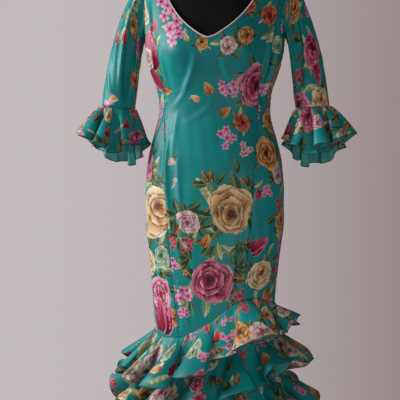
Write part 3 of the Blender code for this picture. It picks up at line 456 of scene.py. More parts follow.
# Name of a motif: how it is painted, the layer it is on, its palette, and how its leaves are sized.
MOTIFS = {
    "peach_rose": (rose, "blooms", "peach", 0.55), "orange_rose": (rose, "blooms", "orange", 0.55),
    "red_rose": (rose, "blooms", "red", 0.6), "peony": (rose, "blooms", "magenta", 0.5),
    "blush_rose": (rose, "blooms", "blush", 0.75), "green_bloom": (rose, "blooms", "green", 0),
    "gold_rose": (rose, "blooms", "gold", 0.6), "bright_peony": (rose, "blooms", "bright pink", 0.5),
    "taupe_rose": (rose, "blooms", "taupe", 0.7), "red_bud": (bud, "blooms", "red", 0),
    "phlox": (blossom, "blooms", "phlox", 0), "berry": (blossom, "blooms", "berry", 0),
    "small_orange": (blossom, "blooms", "orange", 0), "small_pale": (blossom, "blooms", "blush", 0),
    "pink_bud": (bud, "blooms", "magenta", 0), "orange_bud": (bud, "blooms", "orange", 0),
    "beige_bud": (bud, "blooms", "peach", 0), "dark_leaf": (leaf, "leaves", "dark leaf", 0),
    "pale_leaf": (leaf, "leaves", "pale leaf", 0), "brown_leaf": (leaf, "leaves", "brown leaf", 0),
}
CLUSTERS = {"phlox_cluster": "phlox", "berry_cluster": "berry", "pale_cluster": "small_pale"}
LEAF_KINDS = ("dark_leaf", "pale_leaf", "dark_leaf", "brown_leaf")
FLOWER_LEAVES, SPRAY_LEAVES, CLUSTER_BLOSSOMS = 6, 5, 8
# What a print layer stores where nothing is printed: no colour, and 3 cm outside the nearest motif.
UNPRINTED = (0.0, 0.0, 0.0, -0.03)


# %% Lay motifs on a piece
class Sheet:
    """Where the points of a piece lie on its cloth: their two surface numbers, and metres along each."""

    def __init__(self, walk, up, period=None):
        self.walk, self.up, self.period = walk, up, period

    def apart(self, first, second, place_first, place_second):
        """Metres from a place to points, along the cloth and up it."""
        x = self.walk(first, second) - self.walk(np.full_like(first, place_first), second)
        if self.period:
            x = np.mod(x + self.period / 2, self.period) - self.period / 2
        return x, (second - place_second) * self.up


def by_hand(rows, per_first, per_second, in_degrees=True):
    """Listed rows in metres and radians, with how far a metre goes in each surface number."""
    scale = math.radians(1) if in_degrees else 1
    return [(kind, a * scale, b, 0.01 * size, math.radians(turn), per_first, per_second)
            for kind, a, b, size, turn in rows]


def beside(motif, away, way):
    """A place at a distance in metres and a direction from a motif."""
    _, first, second, _, _, per_first, per_second = motif
    return first + away * math.cos(way) * per_first, second + away * math.sin(way) * per_second


def spread_out(motifs, rng):
    """Turns clusters into their blossoms and puts leaves round the large flowers; sizes are in metres."""
    plain = []
    for motif in motifs:
        kind, first, second, size, turn = motif[:5]
        if kind in CLUSTERS:
            for _ in range(CLUSTER_BLOSSOMS):
                away, way = size * rng.uniform(0.1, 1.0), rng.uniform(0, 2 * math.pi)
                own_size, own_turn = size * rng.uniform(0.38, 0.5), rng.uniform(0, 6)
                plain.append((CLUSTERS[kind], *beside(motif, away, way), own_size, own_turn))
            continue
        if kind == "leaf_spray":
            for number in range(SPRAY_LEAVES):
                way = turn + (number - SPRAY_LEAVES // 2) * 0.62 + rng.uniform(-0.2, 0.2)
                away = size * rng.uniform(0.45, 0.65)
                shape = LEAF_KINDS[rng.integers(4)]
                plain.append((shape, *beside(motif, away, way), size * rng.uniform(0.42, 0.60), way))
            continue
        share = MOTIFS[kind][3]
        if share:
            start = rng.uniform(0, 2 * math.pi)
            for number in range(FLOWER_LEAVES):
                way = start + 2 * math.pi * (number + rng.uniform(-0.3, 0.3)) / FLOWER_LEAVES
                away = size * rng.uniform(0.9, 1.12)
                shape = LEAF_KINDS[rng.integers(4)]
                own_size, own_turn = size * share * rng.uniform(0.8, 1.15), way + rng.uniform(-0.7, 0.7)
                plain.append((shape, *beside(motif, away, way), own_size, own_turn))
        plain.append((kind, first, second, size, turn))
    return plain


def paint(sheet, first, second, motifs, seed):
    """The colour and the inside distance of each print layer at a piece's points."""
    layers = {layer: np.tile(UNPRINTED, (len(first), 1)) for layer in ("leaves", "blooms")}
    for number, (kind, at_first, at_second, size, turn) in enumerate(motifs):
        painter, layer, palette, _ = MOTIFS[kind]
        x, y = sheet.apart(first, second, at_first, at_second)
        near = np.hypot(x, y) < size * 1.15 + 0.010
        if not near.any():
            continue
        x, y = x[near] / size, y[near] / size
        u, v = x * math.cos(turn) + y * math.sin(turn), y * math.cos(turn) - x * math.sin(turn)
        colour, inside = painter(u, v, PALETTES[palette], np.random.default_rng(seed * 1000 + number))
        target = layers[layer][near]
        lay(target[:, :3], target[:, 3], colour, inside * size)
        layers[layer][near] = target
    return layers


def scatter(rng, sheet, low, high, menu, taken, tries, metres_per_first, clearance):
    """More motifs at random places that keep a share of both sizes clear of those already there."""
    kinds, least, most, weights = zip(*menu)
    made = list(taken)
    for _ in range(tries):
        kind = rng.choice(len(kinds), p=np.array(weights) / sum(weights))
        size = rng.uniform(least[kind], most[kind])
        first, second = rng.uniform(low[0], high[0]), rng.uniform(low[1], high[1])
        clear = True
        for row in made:
            x, y = sheet.apart(np.array([first]), np.array([second]), row[1], row[2])
            if math.hypot(x[0], y[0]) < clearance * (size + row[3]):
                clear = False
                break
        if clear:
            turn = rng.uniform(0, 2 * math.pi)
            made.append((kinds[kind], first, second, size, turn, 1 / metres_per_first, 1 / sheet.up))
    return made


print("motifs that can be painted", len(MOTIFS))

# %% [markdown]
# ## Creases
#
# Satin that hangs from a bust and hips pulls into a few long soft folds. A cloth simulation would find its
# own, so these are placed one by one where they show: each row is a line on the cloth with its height and its
# width, and all of them are added up as a shift along the surface's normal.

# %% Soft ridges and troughs
MILLIMETRE = 0.001
TROUGH_BESIDE, TROUGH_DEPTH = 1.8, 0.4


def crease_shift(sheet, first, second, creases):
    """Outward shift in metres from rows of (start, end, bow, depth, width): degrees and millimetres."""
    shift = np.zeros(len(first))
    for from_first, from_second, to_first, to_second, bow, depth, width in creases:
        from_first, to_first = math.radians(from_first), math.radians(to_first)
        x, y = sheet.apart(first, second, from_first, from_second)
        end_x, end_y = sheet.apart(np.array([to_first]), np.array([to_second]), from_first, from_second)
        end_x, end_y = float(end_x[0]), float(end_y[0])
        length = math.hypot(end_x, end_y)
        along = (x * end_x + y * end_y) / length**2
        across = (x * end_y - y * end_x) / length
        held = np.clip(along, 0, 1)
        away = (across - bow * MILLIMETRE * 4 * held * (1 - held)) / (width * MILLIMETRE)
        fade = np.sin(math.pi * held**0.8) ** 0.7
        trough = TROUGH_DEPTH * np.exp(-((away - TROUGH_BESIDE) ** 2))
        shift += MILLIMETRE * depth * fade * (np.exp(-(away**2)) - trough)
    return shift


def ripple(x, y, seed, length):
    """An uneven ripple between about -1 and 1 whose waves are about the given length."""
    rng = np.random.default_rng(seed)
    total = np.zeros_like(x)
    for _ in range(7):
        way, wave = rng.uniform(0, 2 * math.pi), length * rng.uniform(0.7, 1.6)
        total += np.sin(2 * math.pi * (x * math.cos(way) + y * math.sin(way)) / wave + rng.uniform(0, 6.28))
    return total / 3.2


# %% [markdown]
# ## Cloth from a grid of points
#
# Every piece of cloth is a grid on its surface. A panel shows one side only, so it is one layer whose edges
# turn in. A flounce shows its plain reverse too, so it gets a second layer half a millimetre behind, joined
# at the rim.

# %% Grids to meshes
SHELL = 0.0006
TURN_IN = 0.0012


def grid_quads(rows, columns, closed=False):
    """Corner numbers of the quads of a grid whose points are stored row after row."""
    across = columns if closed else columns - 1
    row, column = np.meshgrid(np.arange(rows - 1), np.arange(across), indexing="ij")
    here, below, next_column = row * columns, (row + 1) * columns, (column + 1) % columns
    corners = (here + column, here + next_column, below + next_column, below + column)
    return np.stack(corners, axis=-1).reshape(-1, 4)


def cloth_mesh(name, points, normals, quads, layers, two_sided, base=None):
    """A mesh whose outer layer has the points; those that share a base point are welded."""
    points, normals = points.reshape(-1, 3), normals.reshape(-1, 3)
    base = points if base is None else base.reshape(-1, 3)
    _, first, index = np.unique(np.round(base, 6) + 0.0, axis=0, return_index=True, return_inverse=True)
    points, normals, quads = points[first], normals[first], index.reshape(-1)[quads]
    layers = {layer: values[first] for layer, values in layers.items()}
    a, b, d = points[quads[:, 0]], points[quads[:, 1]], points[quads[:, 3]]
    if (np.cross(b - a, d - a) * normals[quads[:, 0]]).sum() < 0:
        quads = quads[:, ::-1]
    a, b, c, d = (points[quads[:, corner]] for corner in range(4))
    first_shorter = np.linalg.norm(a - c, axis=1) <= np.linalg.norm(b - d, axis=1)
    split = np.where(first_shorter[:, None], quads[:, [0, 1, 2, 0, 2, 3]], quads[:, [0, 1, 3, 1, 2, 3]])
    faces = split.reshape(-1, 3)
    same = (faces[:, 0] == faces[:, 1]) | (faces[:, 1] == faces[:, 2]) | (faces[:, 2] == faces[:, 0])
    faces = faces[~same]
    count = len(points)
    edges = np.concatenate([faces[:, [0, 1]], faces[:, [1, 2]], faces[:, [2, 0]]])
    rim = edges[~np.isin(edges[:, 0] * count + edges[:, 1], edges[:, 1] * count + edges[:, 0])]
    behind = points - normals * (SHELL if two_sided else TURN_IN)
    turned = np.concatenate([rim[:, [1, 0]], rim + count], axis=1)
    turned = np.concatenate([turned[:, [0, 1, 2]], turned[:, [0, 2, 3]]])
    shown = [faces, turned]
    if two_sided:
        shown.append(faces[:, ::-1] + count)
    vertices, faces = np.concatenate([points, behind]), np.concatenate(shown)
    slots = np.concatenate([np.full(len(part), number) for number, part in enumerate(shown)])
    used = np.unique(faces)
    place = np.full(2 * count, -1)
    place[used] = np.arange(len(used))
    mesh = bpy.data.meshes.new(name)
    mesh.from_pydata(vertices[used].tolist(), [], place[faces].tolist())
    mesh.polygons.foreach_set("material_index", np.where(slots == 0, 0, int(two_sided)).astype(np.int32))
    for layer, values in layers.items():
        attribute = mesh.attributes.new(layer, "FLOAT_COLOR", "POINT")
        attribute.data.foreach_set("color", np.concatenate([values, values])[used].astype(np.float32).ravel())
    mesh.shade_smooth()
    mesh.update()
    return mesh


def area_of(mesh, slot=0):
    """Area in square metres of the faces with one material slot."""
    areas, slots = np.zeros(len(mesh.polygons)), np.zeros(len(mesh.polygons), np.int32)
    mesh.polygons.foreach_get("area", areas)
    mesh.polygons.foreach_get("material_index", slots)
    return float(areas[slots == slot].sum())


def put(name, data):
    """Links new object data into the scene."""
    made = bpy.data.objects.new(name, data)
    bpy.context.scene.collection.objects.link(made)
    return made


def adopt(piece, replaced=()):
    """Makes a piece ride on the dress and stand for the named solid nodes."""
    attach(piece, ROOT)
    if replaced:
        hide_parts(*replaced)
    mesh = piece.data
    mesh.calc_loop_triangles()
    print(f"{piece.name}: {len(mesh.loop_triangles)} triangles, {area_of(mesh):.4f} square metres outside")
    return piece


def add_piece(name, mesh, materials, replaced=()):
    """Adds a mesh with its materials as a piece of the dress or the form."""
    for material in materials:
        mesh.materials.append(material)
    return adopt(put(name, mesh), replaced)


# %% [markdown]
# ## Satin and its reverse
#
# The face is a smooth satin with a soft gloss, and the print is part of it. The material lays the leaves
# and then the blooms over a turquoise ground where their stored distance passes zero. The reverse is the
# same cloth seen from behind, where the print hardly shows, greyer and dull.

# %% Nodes shared by the materials
def node(tree, kind, wires=(), **settings):
    """Adds a node, sets its options and links or sets its inputs; a node in a wire means its first output."""
    made = tree.nodes.new(kind)
    for option, value in settings.items():
        setattr(made, option, value)
    for label, value in wires:
        if isinstance(value, bpy.types.Node):
            value = value.outputs[0]
        if isinstance(value, bpy.types.NodeSocket):
            tree.links.new(value, made.inputs[label])
        else:
            made.inputs[label].default_value = value
    return made


def start_material(name, colour, roughness, metallic=0.0, sheen=0.0):
    made = bpy.data.materials.new(name)
    made.use_nodes = True
    shader = made.node_tree.nodes["Principled BSDF"]
    shader.inputs["Base Color"].default_value = (*linear(colour), 1)
    shader.inputs["Roughness"].default_value = roughness
    shader.inputs["Metallic"].default_value = metallic
    shader.inputs["Sheen Weight"].default_value = sheen
    made.diffuse_color = (*linear(colour), 1)
    return made, made.node_tree, shader


def noise(tree, scale, detail=3.0):
    """Noise in the object's own coordinates."""
    where = node(tree, "ShaderNodeTexCoord").outputs["Object"]
    wires = [("Scale", scale), ("Detail", detail), ("Vector", where)]
    return node(tree, "ShaderNodeTexNoise", wires).outputs["Fac"]


def mixed(tree, share, first, second, how="MIX"):
    """One colour mixed with another; each is a socket or a display colour."""
    colours = [(*linear(value), 1) if isinstance(value, tuple) else value for value in (first, second)]
    wires = [("Factor", share), (6, colours[0]), (7, colours[1])]
    return node(tree, "ShaderNodeMix", wires, data_type="RGBA", blend_type=how).outputs[2]


def mapped(tree, value, low, high, to_low=0.0, to_high=1.0):
    """A value spread smoothly from one range to another."""
    wires = [("Value", value), ("From Min", low), ("From Max", high), ("To Min", to_low), ("To Max", to_high)]
    return node(tree, "ShaderNodeMapRange", wires, interpolation_type="SMOOTHSTEP").outputs["Result"]


def cloudy(tree, scale, low, high, first, second):
    """Two colours in soft patches."""
    return mixed(tree, mapped(tree, noise(tree, scale), low, high), first, second)


def bump(tree, shader, height, strength, distance):
    made = node(tree, "ShaderNodeBump", [("Strength", strength), ("Distance", distance), ("Height", height)])
    tree.links.new(made.outputs["Normal"], shader.inputs["Normal"])


# %% Printed satin, reverse, piping and thread
GROUND, GROUND_DEEP = (0.0, 0.57, 0.56), (0.0, 0.50, 0.505)
PRINT_EDGE = 0.0006


def printed_satin(name, roughness):
    made, tree, shader = start_material(name, GROUND, roughness)
    shader.inputs["Specular IOR Level"].default_value = 0.34
    colour = cloudy(tree, 7.0, 0.35, 0.65, GROUND_DEEP, GROUND)
    strokes = mapped(tree, noise(tree, 320.0, 2.0), 0.3, 0.7)
    for layer in ("leaves", "blooms"):
        stored = node(tree, "ShaderNodeAttribute", attribute_name=layer)
        faint = mixed(tree, strokes, (0.90, 0.90, 0.90), (1.0, 1.0, 1.0))
        inked = mixed(tree, 1.0, stored.outputs["Color"], faint, "MULTIPLY")
        colour = mixed(tree, mapped(tree, stored.outputs["Alpha"], -PRINT_EDGE, PRINT_EDGE), colour, inked)
    tree.links.new(colour, shader.inputs["Base Color"])
    bump(tree, shader, noise(tree, 900.0, 2.0), 0.12, 0.0004)
    return made


def plain_cloth(name, colour, darker, roughness, scale, strength, sheen=0.2):
    made, tree, shader = start_material(name, colour, roughness, sheen=sheen)
    tree.links.new(cloudy(tree, scale / 40, 0.35, 0.65, darker, colour), shader.inputs["Base Color"])
    bump(tree, shader, noise(tree, scale, 2.0), strength, 0.0005)
    return made


SATIN = printed_satin("printed_satin", 0.46)
REVERSE = plain_cloth("satin_reverse", (0.25, 0.63, 0.59), (0.20, 0.57, 0.54), 0.60, 900.0, 0.2, 0.1)
PIPING = plain_cloth("piping_satin", (0.93, 0.84, 0.85), (0.86, 0.74, 0.77), 0.42, 700.0, 0.2)
HEM_THREAD = plain_cloth("hem_thread", (0.03, 0.20, 0.19), (0.01, 0.13, 0.13), 0.60, 1500.0, 0.6)
JERSEY = plain_cloth("black_jersey", (0.020, 0.020, 0.026), (0.012, 0.012, 0.016), 0.90, 1100.0, 0.5, 0.06)
JERSEY.node_tree.nodes["Principled BSDF"].inputs["Specular IOR Level"].default_value = 0.2
print("materials", [made.name for made in (SATIN, REVERSE, PIPING, HEM_THREAD, JERSEY)])

# %% [markdown]
# ## Where the print and the creases go on the body
#
# The flowers on the front are set one by one, after the photograph's layout: a bunch of small pink blossoms
# by the neckline, a cream rose cut by the seam at the hip, a large peach rose and a magenta peony on the
# skirt. Each is painted only on the panel that holds its centre, because the cloth was cut through the
# flowers.

# %% Listed motifs and creases
# Kind, degrees round the body, height in metres, half size in centimetres, turn in degrees.
BODY_PRINT = (
    ("phlox", -36.5, 1.286, 1.8, 10), ("phlox", -27.5, 1.300, 2.0, 50), ("phlox", -24.0, 1.270, 1.8, 20),
    ("phlox", -30.5, 1.250, 2.1, 80), ("phlox", -28.0, 1.220, 1.8, 35), ("phlox", -21.5, 1.238, 1.6, 0),
    ("phlox", -33.5, 1.314, 1.6, 0), ("phlox", -40.5, 1.325, 1.8, 0), ("phlox", -23.0, 1.252, 1.3, 0),
    ("pale_leaf", -17.0, 1.238, 1.5, 80), ("beige_bud", -15.2, 1.228, 1.1, 100),
    ("orange_rose", -3.5, 1.212, 1.7, 0), ("pale_leaf", -35.0, 1.262, 1.6, 200),
    ("berry", -30.0, 1.199, 0.5, 0), ("beige_bud", -12.5, 1.074, 1.3, 150),
    ("pale_leaf", -15.5, 1.076, 0.9, 20), ("orange_bud", -45.0, 1.092, 1.3, 10),
    ("brown_leaf", -42.0, 1.096, 1.0, 150), ("pale_cluster", -29.0, 0.908, 1.2, 0),
    ("dark_leaf", -27.0, 0.922, 1.3, 60), ("small_pale", -26.0, 0.862, 0.8, 0),
    ("pale_leaf", -28.0, 0.850, 1.2, 250), ("blush_rose", -14.0, 0.756, 3.4, 40),
    ("dark_leaf", -22.0, 0.795, 2.6, 300), ("dark_leaf", -9.0, 0.800, 2.4, 30),
    ("gold_rose", 16.0, 0.788, 6.6, 25), ("orange_bud", -1.0, 0.708, 1.9, 70),
    ("berry_cluster", -16.0, 0.694, 1.7, 0), ("dark_leaf", 5.0, 0.672, 2.8, 200),
    ("pale_leaf", 17.5, 0.684, 2.6, 20), ("dark_leaf", 30.0, 0.694, 2.8, 160),
    ("peony", 3.0, 0.600, 6.2, 0), ("phlox_cluster", -23.5, 0.572, 3.0, 0),
    ("phlox_cluster", -22.5, 0.516, 2.2, 0), ("peach_rose", 49.0, 0.614, 4.1, 100),
    ("berry_cluster", 28.5, 0.566, 2.2, 0), ("orange_bud", 58.5, 0.556, 1.8, 240),
    ("dark_leaf", 40.0, 0.585, 2.2, 320), ("leaf_spray", -26.0, 0.766, 4.2, 200),
    ("leaf_spray", -22.0, 0.716, 3.6, 240), ("leaf_spray", -7.0, 0.744, 3.6, 300),
    ("leaf_spray", 3.0, 0.850, 4.2, 120), ("leaf_spray", 30.0, 0.842, 3.8, 60),
    ("leaf_spray", 6.0, 0.700, 4.4, 260), ("leaf_spray", 26.0, 0.700, 4.0, 300),
    ("leaf_spray", -13.0, 0.652, 4.0, 170), ("leaf_spray", 20.0, 0.640, 3.8, 20),
    ("leaf_spray", -15.0, 0.548, 3.6, 200), ("leaf_spray", 17.0, 0.548, 3.4, 340),
    ("phlox_cluster", -30.5, 0.640, 2.2, 0), ("berry_cluster", -29.0, 0.700, 1.8, 0),
    ("orange_rose", -30.5, 0.500, 2.4, 0), ("small_orange", -17.5, 0.622, 0.9, 0),
    ("blush_rose", 14.0, 1.206, 2.5, 0), ("orange_rose", 28.0, 1.232, 2.3, 0),
    ("red_rose", 49.5, 1.286, 2.6, 0), ("red_rose", 27.0, 1.310, 2.2, 70),
    ("orange_bud", -1.0, 1.100, 1.8, 120), ("red_rose", 30.0, 1.012, 2.4, 0),
    ("pale_cluster", 28.0, 0.940, 2.1, 0), ("orange_bud", 14.0, 1.040, 1.7, 40),
    ("dark_leaf", 20.0, 0.900, 2.0, 100), ("pale_leaf", 60.5, 0.678, 2.0, 60),
    ("orange_rose", 56.0, 0.930, 4.2, 0), ("phlox_cluster", 62.0, 1.10, 2.6, 0),
    ("pale_leaf", -51.0, 0.890, 3.4, 70), ("pale_leaf", -47.0, 0.866, 2.6, 110),
    ("peach_rose", -46.5, 0.776, 8.2, 300), ("green_bloom", -43.5, 0.656, 3.4, 0),
    ("leaf_spray", -47.0, 0.690, 3.6, 60), ("leaf_spray", -44.0, 0.620, 3.4, 300),
    ("leaf_spray", -58.0, 0.850, 4.4, 120), ("leaf_spray", -42.0, 0.846, 3.6, 80),
    ("pink_bud", -57.5, 0.512, 5.6, 118), ("pink_bud", -46.5, 0.508, 5.8, 80),
    ("bright_peony", -52.0, 0.556, 5.0, 0), ("pink_bud", -51.0, 0.500, 4.6, 100),
    ("pink_bud", -56.5, 1.205, 5.6, 100), ("pink_bud", -60.5, 1.120, 3.6, 290),
    ("pink_bud", -49.5, 1.264, 1.8, 80), ("pale_leaf", -52.0, 1.248, 2.0, 100),
    ("pale_leaf", -43.5, 1.222, 1.7, 60), ("pale_leaf", -50.0, 1.150, 2.2, 100),
    ("brown_leaf", -48.5, 1.112, 1.8, 100), ("pale_leaf", -57.5, 1.070, 2.4, 80),
    ("pink_bud", -49.5, 0.998, 1.2, 90), ("berry", -49.0, 0.972, 0.6, 0), ("peony", -74.0, 0.900, 4.8, 0),
    ("peach_rose", -76.0, 0.640, 4.6, 60), ("phlox_cluster", -68.0, 1.045, 2.2, 0),
    ("blush_rose", -70.0, 1.180, 3.0, 0),
)
# From (degrees, height) to (degrees, height), then bow, depth and width in millimetres.
BODY_CREASES = (
    (-39, 0.985, -15, 0.600, 14, 6.6, 8), (-26, 0.930, -20, 0.690, -6, 2.8, 8),
    (-33, 1.040, -28, 0.880, 5, 2.2, 8), (-40, 0.900, -33, 0.720, 5, 2.4, 8),
    (10, 1.190, 24, 1.095, 8, 4.0, 8), (5, 1.120, 20, 1.060, -6, 2.6, 7),
    (-8, 1.195, -30, 1.085, -10, 3.0, 8), (-12, 1.150, -38, 1.050, -8, 2.6, 7),
    (2, 1.060, -24, 1.010, -6, 1.8, 8), (-59, 1.330, -55, 1.070, -8, 6.0, 6),
    (-66, 1.270, -61, 1.080, 6, 5.4, 6), (-51, 1.240, -50, 1.020, 6, 4.2, 5),
    (-74, 1.230, -66, 1.040, -5, 4.6, 7), (59, 1.330, 55, 1.080, 8, 5.6, 6),
    (66, 1.265, 61, 1.070, -6, 5.0, 6), (51, 1.240, 50, 1.030, -5, 3.6, 5),
    (74, 1.230, 66, 1.040, 5, 4.4, 7), (-44, 1.200, -46, 1.060, -4, 2.6, 6),
    (-50, 1.035, -60, 0.900, 8, 3.2, 8), (50, 1.035, 62, 0.910, -8, 3.0, 8),
    (-58, 1.020, -70, 0.900, 6, 2.6, 8), (-38, 0.720, -33, 0.480, 5, 4.6, 9),
    (-52, 0.700, -47, 0.470, -6, 4.2, 10), (-66, 0.740, -63, 0.460, 6, 4.0, 11),
    (-26, 0.600, -21, 0.462, -4, 5.2, 7), (-12, 0.600, -9, 0.500, 4, 4.4, 7),
    (-4, 0.640, -2, 0.520, -3, 3.8, 6), (8, 0.650, 7, 0.560, 3, 3.6, 6), (20, 0.700, 18, 0.570, -4, 4.0, 7),
    (32, 0.760, 30, 0.570, 5, 4.2, 9), (-18, 0.540, -16, 0.468, 2, 3.6, 5),
    (-31, 0.560, -28, 0.462, 2, 3.6, 5), (-44, 0.540, -42, 0.458, -2, 3.4, 5),
    (44, 0.740, 42, 0.570, -5, 2.4, 10), (57, 0.780, 53, 0.560, 6, 2.8, 12),
    (72, 0.740, 70, 0.540, -5, 2.6, 13), (-80, 0.700, -78, 0.460, 5, 2.6, 14),
    (84, 0.720, 86, 0.540, 5, 2.4, 13), (-96, 0.760, -99, 0.460, -6, 2.8, 14),
    (100, 0.780, 104, 0.530, 6, 2.8, 14), (-116, 0.700, -113, 0.460, 5, 2.4, 12),
    (118, 0.720, 121, 0.520, 5, 2.6, 12), (-132, 0.820, -129, 0.480, -6, 3.0, 13),
    (134, 0.800, 137, 0.510, 6, 2.8, 13), (-150, 0.680, -146, 0.480, 5, 2.4, 11),
    (152, 0.700, 150, 0.500, 5, 2.6, 11), (-168, 0.760, -165, 0.490, 5, 2.8, 12),
    (168, 0.740, 171, 0.500, -5, 2.4, 12), (-120, 1.060, -146, 0.975, 9, 2.4, 9),
    (122, 1.055, 148, 0.970, -9, 2.4, 9), (-128, 1.110, -150, 1.030, 8, 2.0, 8),
    (130, 1.105, 152, 1.030, -8, 2.0, 8), (-110, 1.240, -116, 1.090, 6, 3.0, 9),
    (110, 1.240, 117, 1.090, -6, 2.8, 9), (-103, 1.200, -107, 1.070, 5, 2.4, 9),
    (103, 1.195, 106, 1.070, 5, 2.2, 9), (-150, 1.300, -166, 1.180, 8, 2.2, 10),
    (148, 1.300, 165, 1.190, -8, 2.0, 10), (-170, 0.960, -156, 0.880, 8, 1.8, 10),
    (170, 0.960, 157, 0.885, -8, 1.8, 10),
)
BODY_MENU = (
    ("peach_rose", 0.036, 0.060, 2.0), ("peony", 0.034, 0.056, 2.0), ("orange_rose", 0.026, 0.040, 1.5),
    ("blush_rose", 0.022, 0.032, 1.0), ("phlox_cluster", 0.020, 0.030, 2.0),
    ("berry_cluster", 0.016, 0.024, 1.2), ("pink_bud", 0.016, 0.034, 1.2),
    ("orange_bud", 0.014, 0.020, 0.8), ("pale_leaf", 0.016, 0.028, 1.6), ("dark_leaf", 0.016, 0.026, 1.6),
    ("brown_leaf", 0.014, 0.020, 0.8), ("green_bloom", 0.024, 0.034, 0.7),
)
# Further flowers are strewn at random, but not where the front is almost bare.
LEFT_EMPTY, RIGHT_EMPTY = {"front_panel": math.radians(8)}, {"side_front_right": math.radians(-66)}
ANY_ANGLE = 4.0
FRONT_TRIES, SIDE_TRIES, BODY_CLEARANCE, METRES_PER_RADIAN = 90, 260, 0.86, 0.15
body_sheet = Sheet(walk_body, 1.0)
print("placed", len(BODY_PRINT), "motifs and", len(BODY_CREASES), "creases by hand")


# %% [markdown]
# ## The seven panels
#
# A princess-seamed sheath has a front panel, two side fronts, two side backs and two back panels that meet
# at the zip. Their edges run along the shared seam lines, and each edge dips a little with tiny puckers, as
# a seam that is pressed open does. Near the neck, the armholes and the first flounce the creases fade, so
# that the piping and the other pieces sit flat on the cloth.

# %% Rows and edges of the panels
FRONT_CELL, SIDE_CELL, BACK_CELL = 0.0028 * COARSER, 0.0030 * COARSER, 0.0042 * COARSER
HALF_FRONT, SIDE_ACROSS, BACK_ACROSS = 0.150, 0.165, 0.155


def dense_rows(cell):
    """Row numbers on the panel's short table of heights, close enough for cells of one size."""
    heights = np.array((0.46, *ROW_HEIGHTS))
    counts = np.ceil(np.diff(heights) / cell).astype(int)
    above = ROW_HEIGHTS.index(V_POINT) + 1
    counts[above:] = math.ceil(0.042 / cell)
    places = [np.linspace(k, k + 1, n, endpoint=False) for k, n in enumerate(counts)]
    return np.concatenate([*places, [len(ROW_HEIGHTS)]]), int(counts[above])


def heights_at(rows, foot):
    """Heights of numbered rows, of which row 0 is at the foot."""
    return np.interp(rows, np.arange(len(ROW_HEIGHTS) + 1), (foot, *ROW_HEIGHTS))


def fit_to_seam(angle, height, rows):
    """Lets the rows below the first full one follow the flounce's climbing seam."""
    low = int((rows < 1).sum())
    foot = first_seam(angle[:low]) + SEAM_GAP
    height[:low] = blend(foot, height[low], rows[:low, None])


def strap_edge(count):
    """The armhole edge of the shoulder strap, from the top of the princess seam up to the shoulder point."""
    return armhole_path(np.linspace(STRAP_JOIN, 0, count + 1)[1:])


def edge_of_strap(edge_angle, edge_height, per_row, towards_back):
    """A panel edge carried on up the shoulder strap."""
    angle, height = strap_edge(STRAP_ROWS * per_row)
    angle[-1] -= SHOULDER_SEAM_ANGLE
    if towards_back:
        angle = math.pi - angle
    return np.concatenate([edge_angle, angle]), np.concatenate([edge_height, height])


def front_half(side, cell):
    """Angles and heights of half the front panel, from the centre line or the neck to the princess seam."""
    rows, per_row = dense_rows(cell)
    trunk = int((rows <= ROW_HEIGHTS.index(V_POINT) + 1).sum())
    edge_height = heights_at(rows, first_seam(math.radians(side * PRINCESS[0][1])) + SEAM_GAP)
    edge_angle = princess_angle(edge_height, 1) - SEAM_ANGLE
    edge_angle, edge_height = edge_of_strap(edge_angle, edge_height, per_row, False)
    neck_angle, neck_height = neck_path(FRONT_NECK, len(edge_height) - trunk + 1, True)
    centre_height = np.concatenate([heights_at(rows, first_seam(0.0) + SEAM_GAP)[:trunk], neck_height[1:]])
    centre_angle = np.concatenate([np.zeros(trunk), neck_angle[1:]])
    share = np.linspace(0, 1, int(HALF_FRONT / cell))
    angle = side * blend(centre_angle[:, None], edge_angle[:, None], share)
    height = blend(centre_height[:, None], edge_height[:, None], share)
    fit_to_seam(angle, height, rows)
    return angle, height


def side_grid(towards_back, side, cell):
    """Angles and heights of a side front or side back, from the princess seam to the side seam."""
    princess = 2 if towards_back else 1
    rows, _ = dense_rows(cell)
    inner_height = heights_at(rows, first_seam(side * math.radians(PRINCESS[0][princess])) + SEAM_GAP)
    inner_angle = princess_angle(inner_height, princess) + (-SEAM_ANGLE if towards_back else SEAM_ANGLE)
    foot = first_seam(side * math.pi / 2) + SEAM_GAP
    climbed = (inner_height - inner_height[0]) / (PRINCESS_TOP - inner_height[0])
    outer_height = foot + climbed * (UNDERARM - foot)
    outer_angle = np.full_like(outer_height, math.pi / 2 + (SEAM_ANGLE if towards_back else -SEAM_ANGLE))
    share = np.linspace(0, 1, int(SIDE_ACROSS / cell))
    angle = blend(inner_angle[:, None], outer_angle[:, None], share)
    height = blend(inner_height[:, None], outer_height[:, None], share)
    top_angle, top_height = armhole_path(np.linspace(STRAP_JOIN, 1, len(share)))
    if towards_back:
        top_angle = math.pi - top_angle
    pull = (rows / rows[-1])[:, None] ** 5
    inside = (share > 0) & (share < 1)
    angle[:, inside] += pull * (top_angle - angle[-1])[inside]
    height[:, inside] += pull * (top_height - height[-1])[inside]
    fit_to_seam(side * angle, height, rows)
    return side * angle, height


